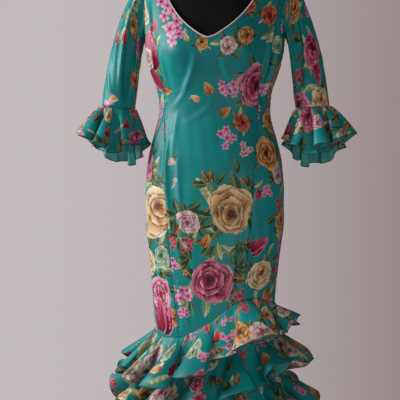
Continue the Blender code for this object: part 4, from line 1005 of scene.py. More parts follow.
def back_grid(side, cell):
    """Angles and heights of one back panel, from the centre-back zip to the back princess seam."""
    rows, per_row = dense_rows(cell)
    neck_angle, neck_height = neck_path(BACK_NECK, STRAP_ROWS * per_row + 1, False)
    edge_height = heights_at(rows, first_seam(side * math.radians(PRINCESS[0][2])) + SEAM_GAP)
    edge_angle = princess_angle(edge_height, 2) + SEAM_ANGLE
    edge_angle, edge_height = edge_of_strap(edge_angle, edge_height, per_row, True)
    centre_height = heights_at(rows, first_seam(math.pi) + SEAM_GAP)
    centre_height *= 1 + (neck_height[0] / PRINCESS_TOP - 1) * np.clip(rows - rows[-1] + 1, 0, 1)
    centre_angle = np.full_like(centre_height, math.pi - CENTRE_BACK_ANGLE)
    centre_height = np.concatenate([centre_height, neck_height[1:]])
    centre_angle = np.concatenate([centre_angle, neck_angle[1:]])
    share = np.linspace(0, 1, int(BACK_ACROSS / cell))
    angle = blend(centre_angle[:, None], edge_angle[:, None], share)
    height = blend(centre_height[:, None], edge_height[:, None], share)
    fit_to_seam(side * angle, height, rows)
    return side * angle, height


# %% Places where the cloth lies calm
ARMHOLE_INWARDS, ARMHOLE_OFF = 0.0012, 0.0006
CALM_ABOVE = 1.14


def armhole_ring(turn):
    """Points on the armhole: 0 at the shoulder point, a quarter turn at the front, half at the underarm."""
    turn = np.mod(turn, 2 * math.pi)
    in_front = turn <= math.pi
    place = np.where(in_front, turn, 2 * math.pi - turn) / math.pi
    angle, height = armhole_path(place)
    point = body_point(np.where(in_front, angle, math.pi - angle), height)
    inwards = np.array([0, 0, (SHOULDER_POINT + UNDERARM) / 2]) - point
    inwards[..., 0] = 0
    return point + unit(inwards) * ARMHOLE_INWARDS + np.array([ARMHOLE_OFF, 0, 0])


def neck_line():
    """Angles and heights round the whole neck edge, from the zip to the zip."""
    front_angle, front_height = neck_path(FRONT_NECK, 120, True)
    back_angle, back_height = neck_path(BACK_NECK, 60, False)
    front_angle[-1] = math.pi / 2
    side_angle = np.concatenate([front_angle, back_angle[::-1][1:]])
    side_height = np.concatenate([front_height, back_height[::-1][1:]])
    side_angle[-1] = math.pi - 0.012
    angle = np.concatenate([-side_angle[::-1], side_angle[1:]])
    return angle, np.concatenate([side_height[::-1], side_height[1:]])


calm_ring = armhole_ring(np.linspace(0, 2 * math.pi, 160))
calm_points = np.concatenate([body_point(*neck_line()), calm_ring, calm_ring * (-1, 1, 1)])
calm = kdtree.KDTree(len(calm_points))
for number, point in enumerate(calm_points):
    calm.insert(point, number)
calm.balance()


def away_from_calm(points):
    """Distance from each point to the nearest neck or armhole edge, which are all high on the body."""
    return np.array([calm.find(point)[2] if point[2] > CALM_ABOVE else 1.0 for point in points.tolist()])


# %% Make the panels
DIP_DEPTH, DIP_WIDTH = 0.0008, 0.0016
PUCKER_HEIGHT, PUCKER_EVERY, PUCKER_REACH, PUCKER_FROM = 0.00045, 0.017, 0.011, 0.001
LOWEST_CREASE, HIGHEST_CREASE = -0.0034, 0.0085
CALM_AT_EDGE, CALM_AT_FLOUNCE = 0.022, 0.030


def bell(away, width):
    return np.exp(-((away / width) ** 2))


def seam_dip(away, height, seed):
    """The cloth dips at a seam and puckers a little beside it."""
    pucker = np.sin(2 * math.pi * height / PUCKER_EVERY + 2 * ripple(height, away, seed, 0.08))
    pucker = PUCKER_HEIGHT * pucker * bell(away, PUCKER_REACH) * (away > PUCKER_FROM)
    return -DIP_DEPTH * bell(away, DIP_WIDTH) + pucker


def panel(name, grids, seed, holds):
    """One panel of the body from its grids of angles and heights."""
    angles, heights, aways, quads, start = [], [], [], [], 0
    for angle, height in grids:
        walked = walk_body(angle, height)
        away = np.abs(walked - walked[:, -1:])
        if len(grids) == 1:
            away = np.minimum(away, np.abs(walked - walked[:, :1]))
        corners = grid_quads(*angle.shape)
        quads.append((corners[:, ::-1] if angle.mean() < 0 else corners) + start)
        start += angle.size
        angles.append(angle.ravel())
        heights.append(height.ravel())
        aways.append(away.ravel())
    angle, height, away = np.concatenate(angles), np.concatenate(heights), np.concatenate(aways)
    points, normals = on_body(angle, height)
    shift = crease_shift(body_sheet, angle, height, BODY_CREASES)
    walked = walk_body(angle, height)
    shift += 0.0008 * ripple(walked, height * 0.3, 5, 0.07) + 0.0004 * ripple(walked, height * 0.25, 6, 0.032)
    above_seam = height - first_seam(angle)
    shift *= smooth_step(away_from_calm(points) / CALM_AT_EDGE)
    shift *= smooth_step((above_seam - 0.002) / CALM_AT_FLOUNCE)
    shift = np.clip(shift + seam_dip(away, height, seed), LOWEST_CREASE, HIGHEST_CREASE)
    rng = np.random.default_rng(seed)
    own = [row for row in BODY_PRINT if holds(math.radians(row[1]), row[2])]
    placed = by_hand(own, 1 / METRES_PER_RADIAN, 1 / body_sheet.up)
    low = (max(angle.min(), LEFT_EMPTY.get(name, -ANY_ANGLE)), height.min() - 0.02)
    high = (min(angle.max(), RIGHT_EMPTY.get(name, ANY_ANGLE)), height.max())
    tries = FRONT_TRIES if name == "front_panel" else SIDE_TRIES
    placed = scatter(rng, body_sheet, low, high, BODY_MENU, placed, tries, METRES_PER_RADIAN, BODY_CLEARANCE)
    layers = paint(body_sheet, angle, height, spread_out(placed, rng), seed)
    shown = points + normals * shift[:, None]
    mesh = cloth_mesh(name, shown, normals, np.concatenate(quads), layers, False, base=points)
    return add_piece(name + "_cloth", mesh, [SATIN], [name])


def in_front(angle, height):
    return abs(angle) < princess_angle(height, 1)


def on_side(side, back):
    """Tells whether a place lies on a side panel."""

    def holds(angle, height):
        angle *= side
        if back:
            return math.pi / 2 <= angle < princess_angle(height, 2)
        return princess_angle(height, 1) <= angle < math.pi / 2

    return holds


def on_back(side):
    return lambda angle, height: angle * side >= princess_angle(height, 2)


halves = [front_half(1, FRONT_CELL), front_half(-1, FRONT_CELL)]
panels = {"front_panel": panel("front_panel", halves, 11, in_front)}
for side, word in ((1, "left"), (-1, "right")):
    for name, grid, seed, holds in (
        ("side_front_", side_grid(False, side, SIDE_CELL), 20, on_side(side, False)),
        ("side_back_", side_grid(True, side, BACK_CELL), 30, on_side(side, True)),
        ("back_panel_", back_grid(side, BACK_CELL), 40, on_back(side)),
    ):
        panels[name + word] = panel(name + word, [grid], seed + side, holds)


# %% [markdown]
# ## The flounces
#
# A flounce is cut on a curve and sewn by its short edge, so the long edge has to wave. It could be
# simulated, but the waves would not land where they should, so the ring is a formula: it leaves the seam,
# flares out and drops, and a wave grows towards the hem with its ridges at the listed angles. Small gathers
# at the seam and a slight curl at the hem are added on top.

# %% The flounce surface
def wave_angle(wave, ridges):
    """Angle round the body of a wave number, where whole numbers are the ridges."""
    count = len(ridges)
    twice_round = [angle + 360 * turn for turn in (-1, 0, 1) for angle in ridges]
    return np.radians(smooth_table(wave, np.arange(-count, 2 * count), twice_round))


FULLER_WAVE, FULLER_LEAN, CREST = 1.16, 2.3, 0.30
LEAST_RISE, MOST_RISE = 0.0, 2.6
FURTHEST_WAVE, LIMIT_BEND = 1.4, 0.2
CURL_REACH, CURL_FROM = 0.008, 0.74
GATHERS, GATHERS_FADE, SMALL_WAVE, TINY_WAVE = 0.030, 0.14, 0.0048, 0.0016


def hem_curl(place, phase, once_round, seed):
    """How far the last quarter of a flounce curls out, unevenly from wave to wave."""
    swing = 0.35 + 0.65 * np.sin(2 * phase + seed + 1.4 * np.sin(4 * once_round + seed))
    return CURL_REACH * smooth_step((place - CURL_FROM) / (1 - CURL_FROM)) ** 2 * swing


def soft_limit(value, most):
    """Bends values near the most so that they never pass it."""
    bend = LIMIT_BEND * most
    over = np.maximum(value - (most - bend), 0)
    return np.minimum(value, most - bend) + bend * np.tanh(over / bend)


def uneven(rng, count, low, high):
    """A smooth random value for each wave, the same after one turn."""
    values = rng.uniform(low, high, count)
    return lambda wave: smooth_table(np.mod(wave, count), np.arange(count + 1), [*values, values[0]])


def level_ways(sideways, ahead):
    """The level direction out from the middle and the one along the ring, from a sine and a cosine."""
    none = np.zeros_like(sideways)
    return np.stack([sideways, -ahead, none], axis=-1), np.stack([ahead, sideways, none], axis=-1)


def tier_surface(tier, seed):
    """The flounce as a surface of wave number and place from the seam, 0, to the hem, 1."""
    row = dict(zip(TIER_COLUMNS, tier))
    first = tier is TIERS[0]
    count = len(row["ridges"])
    rng = np.random.default_rng(300 + seed)
    further, aside = uneven(rng, count, 0.82, 1.22), uneven(rng, count, -0.026, 0.026)
    tip, rise = uneven(rng, count, -0.014, 0.014), uneven(rng, count, LEAST_RISE, MOST_RISE)

    def surface(wave, place):
        angle = wave_angle(wave, row["ridges"])
        held = np.maximum(place, 0)
        once_round = 2 * math.pi * wave / count
        phase = 2 * math.pi * (wave + 0.09 * np.sin(4 * once_round + 1.7 * seed) * held)
        root = body_point(angle, seam_height(tier, angle))
        out, along = level_ways(np.sin(angle), np.cos(angle))
        apart = wave_angle(wave + 0.5, row["ridges"]) - wave_angle(wave - 0.5, row["ridges"])
        size = np.minimum(apart * count / (2 * math.pi), 1.15)
        size = size * (1 + 0.2 * np.sin(5 * once_round + 1.3 * seed))
        out_share = round_the_body(FIRST_TIER_REACH, angle) if first else 1.0
        down_share = round_the_body(FIRST_TIER_DROP, angle) if first else 1.0
        ridge = np.cos(phase)
        gathers = GATHERS * np.sin(phase * 5 + 2 * np.sin(5 * once_round + seed))
        gathers = gathers * held * np.exp(-held / GATHERS_FADE)
        small = SMALL_WAVE * np.sin(phase * 3 + seed + 2 * np.sin(3 * once_round)) * held**1.4
        small += TINY_WAVE * np.sin(phase * 7 + 2 * seed + 3 * np.cos(2 * once_round)) * held**2
        crest = ridge + CREST * np.cos(2 * phase + 0.8 * np.sin(3 * once_round + seed))
        fuller = crest * np.where(crest > 0, FULLER_WAVE, 1.0)
        reach = (row["flare"] + row["wave"] * size * fuller) * place * out_share * further(wave)
        reach = FLOUNCE_STAND_OFF + reach
        curl = hem_curl(held, phase, once_round, seed)
        reach = soft_limit(reach + 0.4 * gathers + small + curl, row["flare"] + FURTHEST_WAVE * row["wave"])
        lean = FULLER_LEAN * row["lean"] * size * place * np.sin(2 * phase) * out_share
        lean = lean + aside(wave) * held**1.5
        lift = rise(wave) * row["lift"] * size * place * (crest + 0.25 * np.sin(2 * phase + seed))
        down = (row["drop"] * held**0.9 - lift + tip(wave) * held**2) * down_share - 0.3 * curl
        point = root + out * reach[..., None] + along * lean[..., None]
        point[..., 2] += FLOUNCE_OVERLAP - down
        return point

    return surface


# %% Rings of cloth
FLOUNCE_CELL = 0.0058 * COARSER
FINE_STEPS, DOWN_STEPS, MIDDLE_PLACE, MORE_ROWS = 1200, 25, 0.6, 1.15
RING_CLEARANCE, TIER_TRIES, CUFF_TRIES = 0.80, 600, 220
TIER_MENU = (
    ("peach_rose", 0.028, 0.046, 1.4), ("peony", 0.026, 0.040, 1.6), ("orange_rose", 0.024, 0.036, 1.6),
    ("taupe_rose", 0.028, 0.044, 3.0), ("phlox_cluster", 0.018, 0.026, 1.4),
    ("berry_cluster", 0.016, 0.026, 2.0), ("red_bud", 0.016, 0.026, 0.8), ("pink_bud", 0.016, 0.026, 0.8),
    ("green_bloom", 0.020, 0.032, 1.0), ("pale_leaf", 0.018, 0.030, 1.4), ("dark_leaf", 0.020, 0.036, 2.4),
    ("brown_leaf", 0.018, 0.030, 1.4), ("blush_rose", 0.024, 0.036, 1.4), ("leaf_spray", 0.030, 0.048, 4.6),
)


def ring_piece(name, surface, turns, cell, motifs, menu, tries, seed, replaced, mirror=False):
    """A closed flounce from a surface of wave number and place, with its print and its plain reverse."""
    fine = np.linspace(0, turns, FINE_STEPS)
    walked = walked_along(surface(fine, np.full_like(fine, MIDDLE_PLACE)))
    hem_walked = walked_along(surface(fine, np.ones_like(fine)))
    down = surface(*np.meshgrid(fine[::10], np.linspace(0, 1, DOWN_STEPS)))
    depth = float(np.linalg.norm(np.diff(down, axis=0), axis=2).sum(axis=0).mean())
    columns, rows = int(hem_walked[-1] / cell), int(MORE_ROWS * depth / cell) + 2
    waves = np.interp(np.linspace(0, hem_walked[-1], columns, endpoint=False), hem_walked, fine)
    wave, place = np.meshgrid(waves, np.linspace(0, 1, rows))
    points = surface(wave, place)
    normals = surface_normal(surface, wave, np.clip(place, 2e-3, 1))
    normals = turned_out(normals, points - points.mean(axis=1, keepdims=True))
    if mirror:
        points, normals = points * (-1, 1, 1), normals * (-1, 1, 1)
    sheet = Sheet(lambda at, _: np.interp(at, fine, walked), -depth, walked[-1])
    rng = np.random.default_rng(seed)
    per_wave = turns / walked[-1]
    placed = by_hand(motifs, per_wave, 1 / sheet.up, in_degrees=False)
    placed = scatter(rng, sheet, (0, -0.1), (turns, 1.1), menu, placed, tries, 1 / per_wave, RING_CLEARANCE)
    layers = paint(sheet, wave.ravel(), place.ravel(), spread_out(placed, rng), seed)
    mesh = cloth_mesh(name, points, normals, grid_quads(rows, columns, closed=True), layers, True)
    piece = add_piece(name, mesh, [SATIN, REVERSE], replaced)
    edge = points[-1] - normals[-1] * SHELL / 2
    seam_length = np.linalg.norm(np.diff(points[0], axis=0), axis=1).sum()
    print(f"   depth {depth:.3f} m, hem {hem_walked[-1]:.2f} m, seam {seam_length:.2f} m")
    return piece, edge, normals[-1]


# Kind, wave number, place from seam to hem, half size in centimetres, turn in degrees.
TIER_PRINTS = {
    "tier1": (
        ("green_bloom", 5.01, 0.30, 2.2, 0), ("beige_bud", 5.01, 0.62, 1.8, 200),
        ("brown_leaf", 6.44, 0.85, 1.8, 30), ("berry_cluster", 6.93, 0.06, 2.2, 0),
        ("orange_bud", 7.10, 0.47, 1.7, 0), ("phlox_cluster", 6.50, 0.20, 1.7, 0),
        ("blush_rose", 4.2, 0.45, 3.4, 0), ("dark_leaf", 4.55, 0.25, 2.6, 150),
        ("peach_rose", 3.25, 0.40, 3.4, 0), ("dark_leaf", 3.7, 0.5, 2.4, 10),
        ("blush_rose", 8.0, 0.5, 2.8, 0), ("berry_cluster", 7.7, 0.75, 1.8, 0),
    ),
    "tier2": (
        ("phlox_cluster", 7.92, 0.20, 2.0, 0), ("berry_cluster", 8.1, 0.45, 1.8, 0),
        ("pale_leaf", 7.75, 0.62, 2.4, 0), ("orange_bud", 7.92, 0.60, 2.0, 90),
        ("peach_rose", 5.3, 0.5, 3.0, 0), ("peony", 6.0, 0.4, 2.4, 0), ("orange_rose", 4.2, 0.5, 2.6, 0),
        ("blush_rose", 3.6, 0.45, 2.8, 0),
    ),
    "tier3": (),
    "tier4": (),
}
QUARTERS = ("front", "left", "back", "right")
hem_paths, tiers = {}, []
for number, tier in enumerate(TIERS):
    name = tier[0]
    piece, edge, out = ring_piece(
        name + "_flounce", tier_surface(tier, number), len(tier[-1]), FLOUNCE_CELL, TIER_PRINTS[name],
        TIER_MENU, TIER_TRIES, 50 + number, [f"{name}_{quarter}" for quarter in QUARTERS],
    )
    tiers.append(piece)
    hem_paths[piece.name] = (edge, out)


# %% [markdown]
# ## The underskirt
#
# The flounces are sewn one below another to a flared skirt, which shows only as deep shadow between them.
# It gets the same satin without flowers, on a coarser grid, because hardly any of it is seen.

# %% The underskirt
def underskirt_surface(wave, place):
    """The flared skirt below the first seam, by turns round the body and place down it."""
    angle = np.mod(wave * 2 * math.pi + math.pi, 2 * math.pi) - math.pi
    hem = seam_height(TIERS[-1], angle) - UNDERSKIRT_BELOW_LAST_SEAM
    return body_point(angle, blend(first_seam(angle) - UNDERSKIRT_GAP, hem, place))


COLUMNS, ROWS = 150, 44
wave, place = np.meshgrid(np.linspace(0, 1, COLUMNS, endpoint=False), np.linspace(0, 1, ROWS))
points = underskirt_surface(wave, place)
normals = turned_out(surface_normal(underskirt_surface, wave, place), points * (1, 1, 0))
bare = np.tile(UNPRINTED, (wave.size, 1))
layers = {"leaves": bare, "blooms": bare}
mesh = cloth_mesh("underskirt", points, normals, grid_quads(ROWS, COLUMNS, closed=True), layers, True)
solids = [f"underskirt_{quarter}" for quarter in QUARTERS]
underskirt = add_piece("underskirt_cloth", mesh, [SATIN, REVERSE], solids)


# %% [markdown]
# ## Sleeves and cuffs
#
# Each sleeve hangs straight from the armhole to above the elbow and creases where the arm would bend. It is
# one formula that blends the armhole's ring into the cuff's ring; the right one mirrors its form but not
# its print or its creases. The cuff is a small flounce with nine waves, made like the others.

# %% Surfaces of the sleeve and the cuff
CUFF_CENTRE = (0.261, -0.010, 1.052)
CUFF_HALF_WIDTH, CUFF_HALF_DEPTH, CUFF_TILT = 0.045, 0.048, math.radians(5)
CUFF_WAVES, CUFF_WAVE, CUFF_LEAN, CUFF_LIFT = 9, 0.024, 0.014, 0.015


def cuff_ring(turn):
    """Points on the sleeve's lower edge: 0 faces away from the body, a quarter turn faces the front."""
    across = CUFF_HALF_WIDTH * np.cos(turn)
    x = CUFF_CENTRE[0] + across * math.cos(CUFF_TILT)
    y = CUFF_CENTRE[1] - CUFF_HALF_DEPTH * np.sin(turn)
    return np.stack([x, y, CUFF_CENTRE[2] + across * math.sin(CUFF_TILT)], axis=-1)


def sleeve_surface(turn, place):
    """The left sleeve, by the turn round it and the place from the armhole, 0, to the cuff seam, 1."""
    top, foot = armhole_ring(turn), cuff_ring(turn)
    upper = (1 + np.cos(turn)) / 2
    leave = np.stack([0.045 + 0.115 * upper, -0.030 * np.sin(turn), -0.060 + 0.055 * upper], axis=-1)
    arrive = np.stack([0.020 + 0.012 * upper, -0.004 + 0 * upper, -0.150 - 0.230 * upper], axis=-1)
    point = hermite(np.asarray(place)[..., None], top, leave, foot, arrive)
    turned, held = np.mod(turn, 2 * math.pi), np.clip(place, 0, 1)
    crease = np.exp(-(((turned - 2.05) / 0.30) ** 2)) * np.sin(math.pi * held) ** 0.7
    hollow = np.exp(-(((turned - 4.30) / 0.35) ** 2)) * np.sin(math.pi * held)
    point[..., 1] += 0.014 * crease - 0.009 * hollow
    return point


def cuff_surface(wave, place):
    """The left cuff flounce as a surface of wave number and place from its seam, 0, to the hem, 1."""
    turn = 2 * math.pi * (wave + 0.12 * np.sin(2 * math.pi * wave * 2 / CUFF_WAVES + 1.0)) / CUFF_WAVES
    once_round = 2 * math.pi * wave / CUFF_WAVES
    phase = 2 * math.pi * (wave + 0.10 * np.sin(4 * once_round + 2.0) * np.maximum(place, 0))
    outer, front = np.cos(turn), np.sin(turn)
    out, against = level_ways(outer, front)
    flare = 0.034 + 0.008 * outer + 0.006 * np.abs(front) - 0.008 * np.clip(-outer, 0, 1)
    drop = 0.135 - 0.045 * outer**2 - 0.025 * front
    size = 1 + 0.25 * np.sin(2 * turn + 0.6) - 0.45 * np.clip(-outer, 0, 1) - 0.42 * np.clip(-front, 0, 1)
    ridge = np.cos(phase) + 0.08 * np.cos(2 * phase + 0.8 * np.sin(2 * once_round))
    held = np.maximum(place, 0)
    gathers = 0.010 * np.sin(phase * 4 + 2 * np.sin(turn)) * held * np.exp(-held / 0.12)
    small = 0.0018 * np.sin(phase * 3 + 1.0 + 2 * np.sin(turn)) * held
    reach = flare * held**0.6 + CUFF_WAVE * size * place * ridge + gathers + small
    reach = reach + 0.7 * hem_curl(held, phase, once_round, 2.0)
    lean = CUFF_LEAN * size * place * np.sin(2 * phase)
    point = cuff_ring(turn) + out * reach[..., None] - against * lean[..., None]
    point[..., 2] -= SEAM_GAP + drop * place - CUFF_LIFT * size * place * ridge
    return point


# %% Make the sleeves and cuffs
SLEEVE_CELL = 0.0036 * COARSER
SLEEVE_ROUND, SLEEVE_LENGTH = 0.36, 0.33
SLEEVE_TRIES, SLEEVE_CLEARANCE = 200, 0.82
END_DIP, UNDERARM_DIP = 0.0006, 0.0007
sleeve_sheet = Sheet(lambda turn, _: turn * SLEEVE_ROUND / (2 * math.pi), -SLEEVE_LENGTH, SLEEVE_ROUND)
# Kind, turn in degrees, place down the sleeve, half size in centimetres, turn of the motif in degrees.
SLEEVE_PRINTS = {
    "left": (
        ("orange_rose", 80, 0.25, 3.4, 0), ("peony", 60, 0.62, 3.6, 0), ("dark_leaf", 110, 0.42, 2.4, 60),
        ("phlox_cluster", 20, 0.42, 2.4, 0), ("pale_leaf", 95, 0.85, 2.2, 0),
    ),
    "right": (
        ("pale_leaf", 70, 0.49, 2.4, 70), ("pink_bud", 48, 0.54, 1.6, 100), ("pink_bud", 84, 0.47, 1.8, 80),
        ("brown_leaf", 24, 0.39, 2.4, 0), ("pale_leaf", 62, 0.36, 2.2, 110),
        ("orange_rose", 102, 0.31, 2.4, 0), ("peony", 146, 0.34, 2.8, 0), ("dark_leaf", 156, 0.50, 2.4, 80),
        ("brown_leaf", 172, 0.72, 2.2, 60), ("red_rose", 150, 0.66, 2.2, 0),
        ("phlox_cluster", 66, 0.97, 1.8, 0), ("beige_bud", 84, 0.93, 1.6, 0),
        ("green_bloom", 74, 0.18, 2.6, 0), ("phlox_cluster", 40, 0.14, 2.4, 0),
    ),
}
# From (turn, place) to (turn, place), then bow, depth and width in millimetres.
SLEEVE_CREASES = {
    "left": (
        (82, 0.20, 132, 0.86, 7, -6.0, 9), (40, 0.60, 100, 0.88, 5, 3.2, 7),
        (60, 0.06, 110, 0.38, -6, 3.0, 8), (150, 0.25, 165, 0.85, 4, 2.4, 8),
        (220, 0.35, 290, 0.75, 6, 2.2, 8), (250, 0.10, 300, 0.45, -5, 2.0, 9),
        (330, 0.55, 390, 0.78, 5, 1.6, 8), (200, 0.70, 250, 0.95, 4, 1.6, 7), (10, 0.2, 40, 0.5, 5, 1.4, 9),
    ),
    "right": (
        (90, 0.08, 128, 0.97, 7, -8.0, 9), (72, 0.20, 112, 0.98, 6, 3.6, 8),
        (112, 0.10, 150, 0.60, -6, 4.4, 8), (24, 0.66, 84, 0.94, 6, 3.0, 7),
        (50, 0.10, 84, 0.40, -6, 2.6, 8), (146, 0.25, 164, 0.90, 4, 4.0, 8),
        (40, 0.40, 66, 0.72, 5, 1.8, 7), (215, 0.30, 285, 0.72, 6, 2.4, 8),
        (245, 0.12, 305, 0.44, -5, 2.0, 9), (325, 0.50, 385, 0.80, 5, 1.8, 8),
        (205, 0.72, 255, 0.95, 4, 1.6, 7),
    ),
}
# Turns between which further flowers are strewn; the right sleeve's front has only those listed.
SLEEVE_STREWN = {"left": (0, 2 * math.pi), "right": (math.pi, 1.95 * math.pi)}


def sleeve_piece(word, side, seed):
    columns, rows = int(SLEEVE_ROUND / SLEEVE_CELL), int(SLEEVE_LENGTH / SLEEVE_CELL)
    turn, place = np.meshgrid(np.linspace(0, 2 * math.pi, columns, endpoint=False), np.linspace(0, 1, rows))
    points = sleeve_surface(turn, place)
    normals = surface_normal(sleeve_surface, turn, np.clip(place, 1e-3, 1 - 1e-3))
    normals = turned_out(normals, points - points.mean(axis=1, keepdims=True))
    flat_turn, flat_place = turn.ravel(), place.ravel()
    shift = crease_shift(sleeve_sheet, flat_turn, flat_place, SLEEVE_CREASES[word])
    round_way, down_way = np.cos(flat_turn) * 0.06, flat_place * 0.3 + np.sin(flat_turn) * 0.06
    shift += 0.0006 * ripple(round_way, down_way, seed, 0.06)
    shift *= smooth_step(flat_place / 0.10) * smooth_step((1 - flat_place) / 0.04)
    seam = np.minimum(flat_place, 1 - flat_place) * SLEEVE_LENGTH
    under = np.abs(np.mod(flat_turn, 2 * math.pi) - math.pi) * SLEEVE_ROUND / (2 * math.pi)
    shift -= END_DIP * bell(seam, DIP_WIDTH) + UNDERARM_DIP * bell(under, DIP_WIDTH)
    points = points + normals * shift.reshape(turn.shape)[..., None]
    if side < 0:
        points, normals = points * (-1, 1, 1), normals * (-1, 1, 1)
    rng = np.random.default_rng(seed)
    per_metre = 2 * math.pi / SLEEVE_ROUND
    placed = by_hand(SLEEVE_PRINTS[word], per_metre, 1 / sleeve_sheet.up)
    start, end = SLEEVE_STREWN[word]
    low, high = (start, 0), (end, 1)
    placed = scatter(
        rng, sleeve_sheet, low, high, BODY_MENU, placed, SLEEVE_TRIES, 1 / per_metre, SLEEVE_CLEARANCE
    )
    layers = paint(sleeve_sheet, flat_turn, flat_place, spread_out(placed, rng), seed)
    mesh = cloth_mesh("sleeve_" + word, points, normals, grid_quads(rows, columns, closed=True), layers, True)
    return add_piece(f"sleeve_{word}_cloth", mesh, [SATIN, REVERSE], ["sleeve_" + word])


CUFF_CELL = 0.0042 * COARSER
CUFF_PRINTS = {
    "left": (
        ("blush_rose", 2.0, 0.4, 2.6, 0), ("peach_rose", 3.2, 0.5, 2.8, 0), ("dark_leaf", 1.0, 0.4, 2.2, 0),
    ),
    "right": (
        ("peach_rose", 2.05, 0.22, 2.4, 0), ("pink_bud", 2.07, 0.66, 1.8, 90),
        ("brown_leaf", 1.17, 0.35, 2.4, 60), ("peony", 3.50, 0.90, 3.4, 0),
        ("dark_leaf", 3.62, 0.35, 2.4, 80), ("red_rose", 4.92, 0.53, 2.4, 0),
        ("pale_leaf", 2.7, 0.5, 2.0, 20), ("blush_rose", 1.4, 0.75, 2.0, 0),
    ),
}
sleeves, cuffs = {}, {}
for side, word, seed in ((1, "left", 71), (-1, "right", 72)):
    sleeves[word] = sleeve_piece(word, side, seed)
    piece, edge, out = ring_piece(
        f"cuff_{word}_flounce", cuff_surface, CUFF_WAVES, CUFF_CELL, CUFF_PRINTS[word], TIER_MENU, CUFF_TRIES,
        seed + 10, [f"cuff_flounce_{word}"], mirror=side < 0,
    )
    cuffs[word] = piece
    hem_paths[piece.name] = (edge, out)


# %% [markdown]
# ## Edgings with Geometry Nodes
#
# The neck has a pale piping, and every flounce ends in a narrow rolled hem whipped over with dark thread.
# Both are the same thing: a round cord along an edge with stitches across it. One node tree makes them, so
# its radius and its stitches can be changed at any time, and the stitches are instances that are realized
# at the end.

# %% One tree for piping and hems
def start_tree(name, inputs):
    tree = bpy.data.node_groups.new(name, "GeometryNodeTree")
    tree.interface.new_socket(name="Path", in_out="INPUT", socket_type="NodeSocketGeometry")
    for label, kind in inputs:
        tree.interface.new_socket(name=label, in_out="INPUT", socket_type=kind)
    tree.interface.new_socket(name="Geometry", in_out="OUTPUT", socket_type="NodeSocketGeometry")
    given, result = tree.nodes.new("NodeGroupInput"), tree.nodes.new("NodeGroupOutput")
    return tree, given.outputs, result.inputs["Geometry"]


def every(tree, line, length):
    """The line with points at even distances."""
    return node(tree, "GeometryNodeResampleCurve", [("Curve", line), ("Length", length)], mode="LENGTH")


def instanced(tree, points, thing, turned_to, size, material):
    """Real copies of a thing on points, with their material."""
    wires = [("Points", points), ("Instance", thing), ("Rotation", turned_to), ("Scale", size)]
    placed = node(tree, "GeometryNodeInstanceOnPoints", wires)
    real = node(tree, "GeometryNodeRealizeInstances", [("Geometry", placed)])
    return node(tree, "GeometryNodeSetMaterial", [("Geometry", real), ("Material", material)])


def edging_tree():
    sizes = ("Radius", "Step", "Stitch Every", "Stitch Length", "Stitch Thickness")
    tree, given, result = start_tree(
        "Edging", [(label, "NodeSocketFloat") for label in sizes]
        + [("Sides", "NodeSocketInt"), ("Cord", "NodeSocketMaterial"), ("Thread", "NodeSocketMaterial")],
    )
    line = node(tree, "GeometryNodeMeshToCurve", [("Mesh", given["Path"])])
    spaced = every(tree, line, given["Step"])
    around = [("Resolution", given["Sides"]), ("Radius", given["Radius"])]
    ring = node(tree, "GeometryNodeCurvePrimitiveCircle", around)
    swept = [("Curve", spaced), ("Profile Curve", ring), ("Fill Caps", True)]
    tube = node(tree, "GeometryNodeCurveToMesh", swept)
    cord = node(tree, "GeometryNodeSetMaterial", [("Geometry", tube), ("Material", given["Cord"])])
    stops = every(tree, line, given["Stitch Every"])
    outwards = node(tree, "GeometryNodeInputNamedAttribute", [("Name", "out")], data_type="FLOAT_VECTOR")
    scaled = [(0, outwards), ("Scale", given["Radius"])]
    lifted = node(tree, "ShaderNodeVectorMath", scaled, operation="SCALE")
    moved = node(tree, "GeometryNodeSetPosition", [("Geometry", stops), ("Offset", lifted)])
    tangent = node(tree, "GeometryNodeInputTangent")
    across = node(tree, "ShaderNodeVectorMath", [(0, tangent), (1, outwards)], operation="CROSS_PRODUCT")
    slanted = node(tree, "ShaderNodeVectorMath", [(0, across), (1, tangent)], operation="ADD")
    facing = node(tree, "FunctionNodeAlignRotationToVector", [("Vector", slanted)], axis="Z")
    bead = node(tree, "GeometryNodeMeshUVSphere", [("Segments", 5), ("Rings", 3), ("Radius", 0.5)])
    thick, long = given["Stitch Thickness"], given["Stitch Length"]
    size = node(tree, "ShaderNodeCombineXYZ", [("X", thick), ("Y", thick), ("Z", long)])
    thread = instanced(tree, moved, bead, facing, size, given["Thread"])
    joined = node(tree, "GeometryNodeJoinGeometry", [("Geometry", thread), ("Geometry", cord)])
    smooth = node(tree, "GeometryNodeSetShadeSmooth", [("Geometry", joined)])
    tree.links.new(smooth.outputs["Geometry"], result)
    return tree


# %% Grow a mesh along a path
def path_mesh(name, points, out, closed):
    mesh = bpy.data.meshes.new(name)
    count = len(points)
    edges = [(k, (k + 1) % count) for k in range(count if closed else count - 1)]
    mesh.from_pydata(np.asarray(points).tolist(), edges, [])
    attribute = mesh.attributes.new("out", "FLOAT_VECTOR", "POINT")
    attribute.data.foreach_set("vector", np.asarray(out, np.float32).ravel())
    return mesh


def grow(name, tree, path, values, replaced=()):
    """Runs a node tree on a path and keeps the result as a plain mesh piece."""
    source = put(name, path)
    modifier = source.modifiers.new("grow", "NODES")
    modifier.node_group = tree
    for item in tree.interface.items_tree:
        if item.in_out == "INPUT" and item.name in values:
            modifier[item.identifier] = values[item.name]
    graph = bpy.context.evaluated_depsgraph_get()
    mesh = bpy.data.meshes.new_from_object(source.evaluated_get(graph))
    source.modifiers.remove(modifier)
    source.data = mesh
    return adopt(source, replaced)


